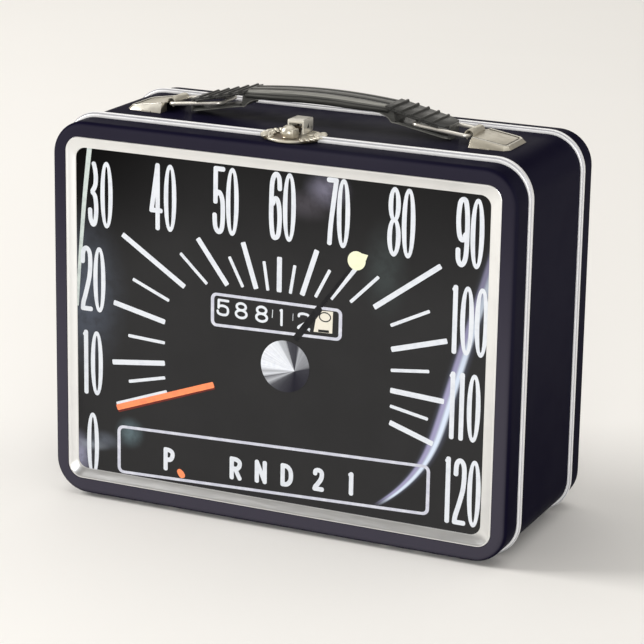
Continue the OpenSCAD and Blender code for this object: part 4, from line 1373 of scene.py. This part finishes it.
def make_latch():
    """The latch plate's two halves with their leaves, the catch, the hasp, its ears and its pin."""
    wide, under, over = DISC_R + 5, TOP_Z - 3, TOP_Z + 9
    lid_half = make_piece("latch_disc_lid", disc_shape(), "aged_nickel", "lid", ["latch_plate_lid"])
    boolean(lid_half, [((-wide, DISC_Y - wide, under), (wide, DISC_SPLIT[0], over))], "INTERSECT")
    case_half = make_piece("latch_disc_case", disc_shape(), "aged_nickel", "case", ["latch_plate_case"])
    boolean(case_half, [((-wide, DISC_SPLIT[1], under), (wide, DISC_Y + wide, over))], "INTERSECT")
    half = HASP_HIGH.x + 0.35
    boolean(case_half, [((-half, HASP_PIVOT.y - 3, DISC_Z + 0.62), (half, HASP_PIVOT.y + 9, over))])
    make_piece("latch_petals_lid", petals(True), "aged_nickel", "lid")
    make_piece("latch_petals_case", petals(False), "aged_nickel", "case")
    bevel(make_piece("latch_knob", catch_shape(), "aged_nickel", "lid", ["latch_catch"]), 0.12, 2, 50)
    make_hasp()
    bevel(make_piece("latch_ears", hasp_ears(), "aged_nickel", "case"), 0.1, 2)
    pin = Shape().lathe([(0.45, -3.5), (0.6, -3.35), (0.6, 3.35), (0.45, 3.5)], HASP_PIVOT, "X", 24)
    make_piece("latch_pin_bar", pin, "bright_wire", "case", ["latch_pin"])


def make_rivets():
    """Domed rivet heads outside, flat clenched heads inside."""
    for side in ("lid", "case"):
        node = "latch_rivets_" + side
        low, high = box_mm(node)
        x, y = high.x - 1.7, (low.y + high.y) / 2
        shape = Shape()
        for rx in (-x, x):
            shape.lathe(HEAD_SECTION, (rx, y, high.z - 0.5), segments=28)
        shank = [(1.7, 0), (1.6, 0.5), (1.0, 0.52), (1.0, high.z - low.z - 0.8)]
        for rx in (-x, x):
            shape.lathe(shank, (rx, y, low.z), segments=24)
        make_piece(f"latch_rivet_heads_{side}", shape, "aged_nickel", side, [node])
    for side in ("lid", "case"):
        node = "hinge_rivets_" + side
        low, high = box_mm(node)
        shape = Shape()
        for x in (high.x - 1.7, high.x - 16.7, 16.7 - high.x, 1.7 - high.x):
            shape.lathe(RIVET_SECTION, (x, (low.y + high.y) / 2, low.z), segments=28)
        make_piece(f"hinge_rivet_heads_{side}", shape, "bare_tin", side, [node])


def dress_cad():
    """Finishes for the CAD nodes that stay in view."""
    for node, look in (("hinge_leaves_case", "bare_tin"), ("hinge_leaves_lid", "bare_tin"),
                       ("hinge_pins", "bright_wire")):
        mesh = frame["nodes"][node].data
        mesh.materials.clear()
        mesh.materials.append(LOOKS[look])


# ---------- stage ----------

def make_stage():
    """A plain pale floor that runs on behind the box."""
    colour, radius, sides = (0.88, 0.865, 0.84), 7, 64
    paint = Paint("stage_paper", colour, 0.9)
    paint.coat(paint.noise(120, 2), tuple(0.985 * c for c in colour))
    ring = [(x, y, 0) for x, y in arc_points(0, 0, radius, 0, 360, sides)[:-1]]
    mesh = bpy.data.meshes.new("stage_floor")
    mesh.from_pydata(ring, [], [list(range(sides))])
    mesh.materials.append(paint.material)
    in_scene("stage_floor", mesh)


def area_light(name, place, target, size, power, colour=(1, 1, 1)):
    """A rectangular lamp; places are in metres, power in watts."""
    light = bpy.data.lights.new(name, "AREA")
    light.shape = "RECTANGLE"
    light.size, light.size_y = size
    light.energy = power
    light.color = colour
    lamp = in_scene(name, light)
    lamp.location = place
    lamp.rotation_mode = "QUATERNION"
    lamp.rotation_quaternion = (Vector(target) - Vector(place)).to_track_quat("-Z", "Y")


def make_lights():
    """A large lamp above, a key at the left, a soft front and a faint rear."""
    scene = bpy.context.scene
    scene.view_settings.view_transform = "Standard"
    scene.world = bpy.data.worlds.new("studio")
    scene.world.use_nodes = True
    sky = scene.world.node_tree.nodes["Background"].inputs
    sky["Color"].default_value = (1.0, 0.95, 0.875, 1)
    sky["Strength"].default_value = 0.33
    middle = (0, 0, 0.08)
    area_light("overhead", (0, 0.7, 3), (0, 0.7, 0), (4, 4), 43)
    area_light("key", (-2.0, -0.6, 1.3), middle, (1.0, 1.0), 42, (1.0, 0.985, 0.96))
    area_light("front", (1.1, -2.2, 0.7), middle, (1.2, 0.7), 28, (0.98, 0.99, 1.0))
    area_light("rear", (-0.95, 2.1, 0.8), middle, (1.5, 0.6), 2.6, (1.0, 0.98, 0.93))


# the fitted camera: its angles in degrees, its place in metres and its lens in millimetres
CAMERA_ANGLES = (24.52, 16.06, 0.97)
CAMERA_PLACE = (0.4340, -0.9489, 0.3765)
CAMERA_LENS = 148.4


def make_camera():
    """Camera at the photograph's viewing angle."""
    yaw, pitch, roll = (math.radians(a) for a in CAMERA_ANGLES)
    forward = Vector((-math.sin(yaw) * math.cos(pitch), math.cos(yaw) * math.cos(pitch), -math.sin(pitch)))
    right = Vector((math.cos(yaw), math.sin(yaw), 0))
    up = right.cross(forward)
    right, up = (right * math.cos(roll) + up * math.sin(roll), up * math.cos(roll) - right * math.sin(roll))
    camera = in_scene("camera", bpy.data.cameras.new("camera"))
    camera.data.sensor_width = 36
    camera.data.lens = CAMERA_LENS
    camera.data.clip_start, camera.data.clip_end = 0.05, 20
    turn = Matrix((right, up, -forward)).transposed()
    camera.matrix_world = Matrix.Translation(CAMERA_PLACE) @ turn.to_4x4()
    bpy.context.scene.camera = camera


def build():
    make_camera()
    make_stage()
    make_lights()
    make_paints()
    make_shells()
    make_dial("front", PLATE_LOW.y, 1, "lid", "lid_picture_plate")
    make_dial("back", box_mm("back_plate")[1].y, -1, "case", "back_plate")
    make_handle()
    make_links()
    make_brackets()
    make_latch()
    make_rivets()
    dress_cad()


build()
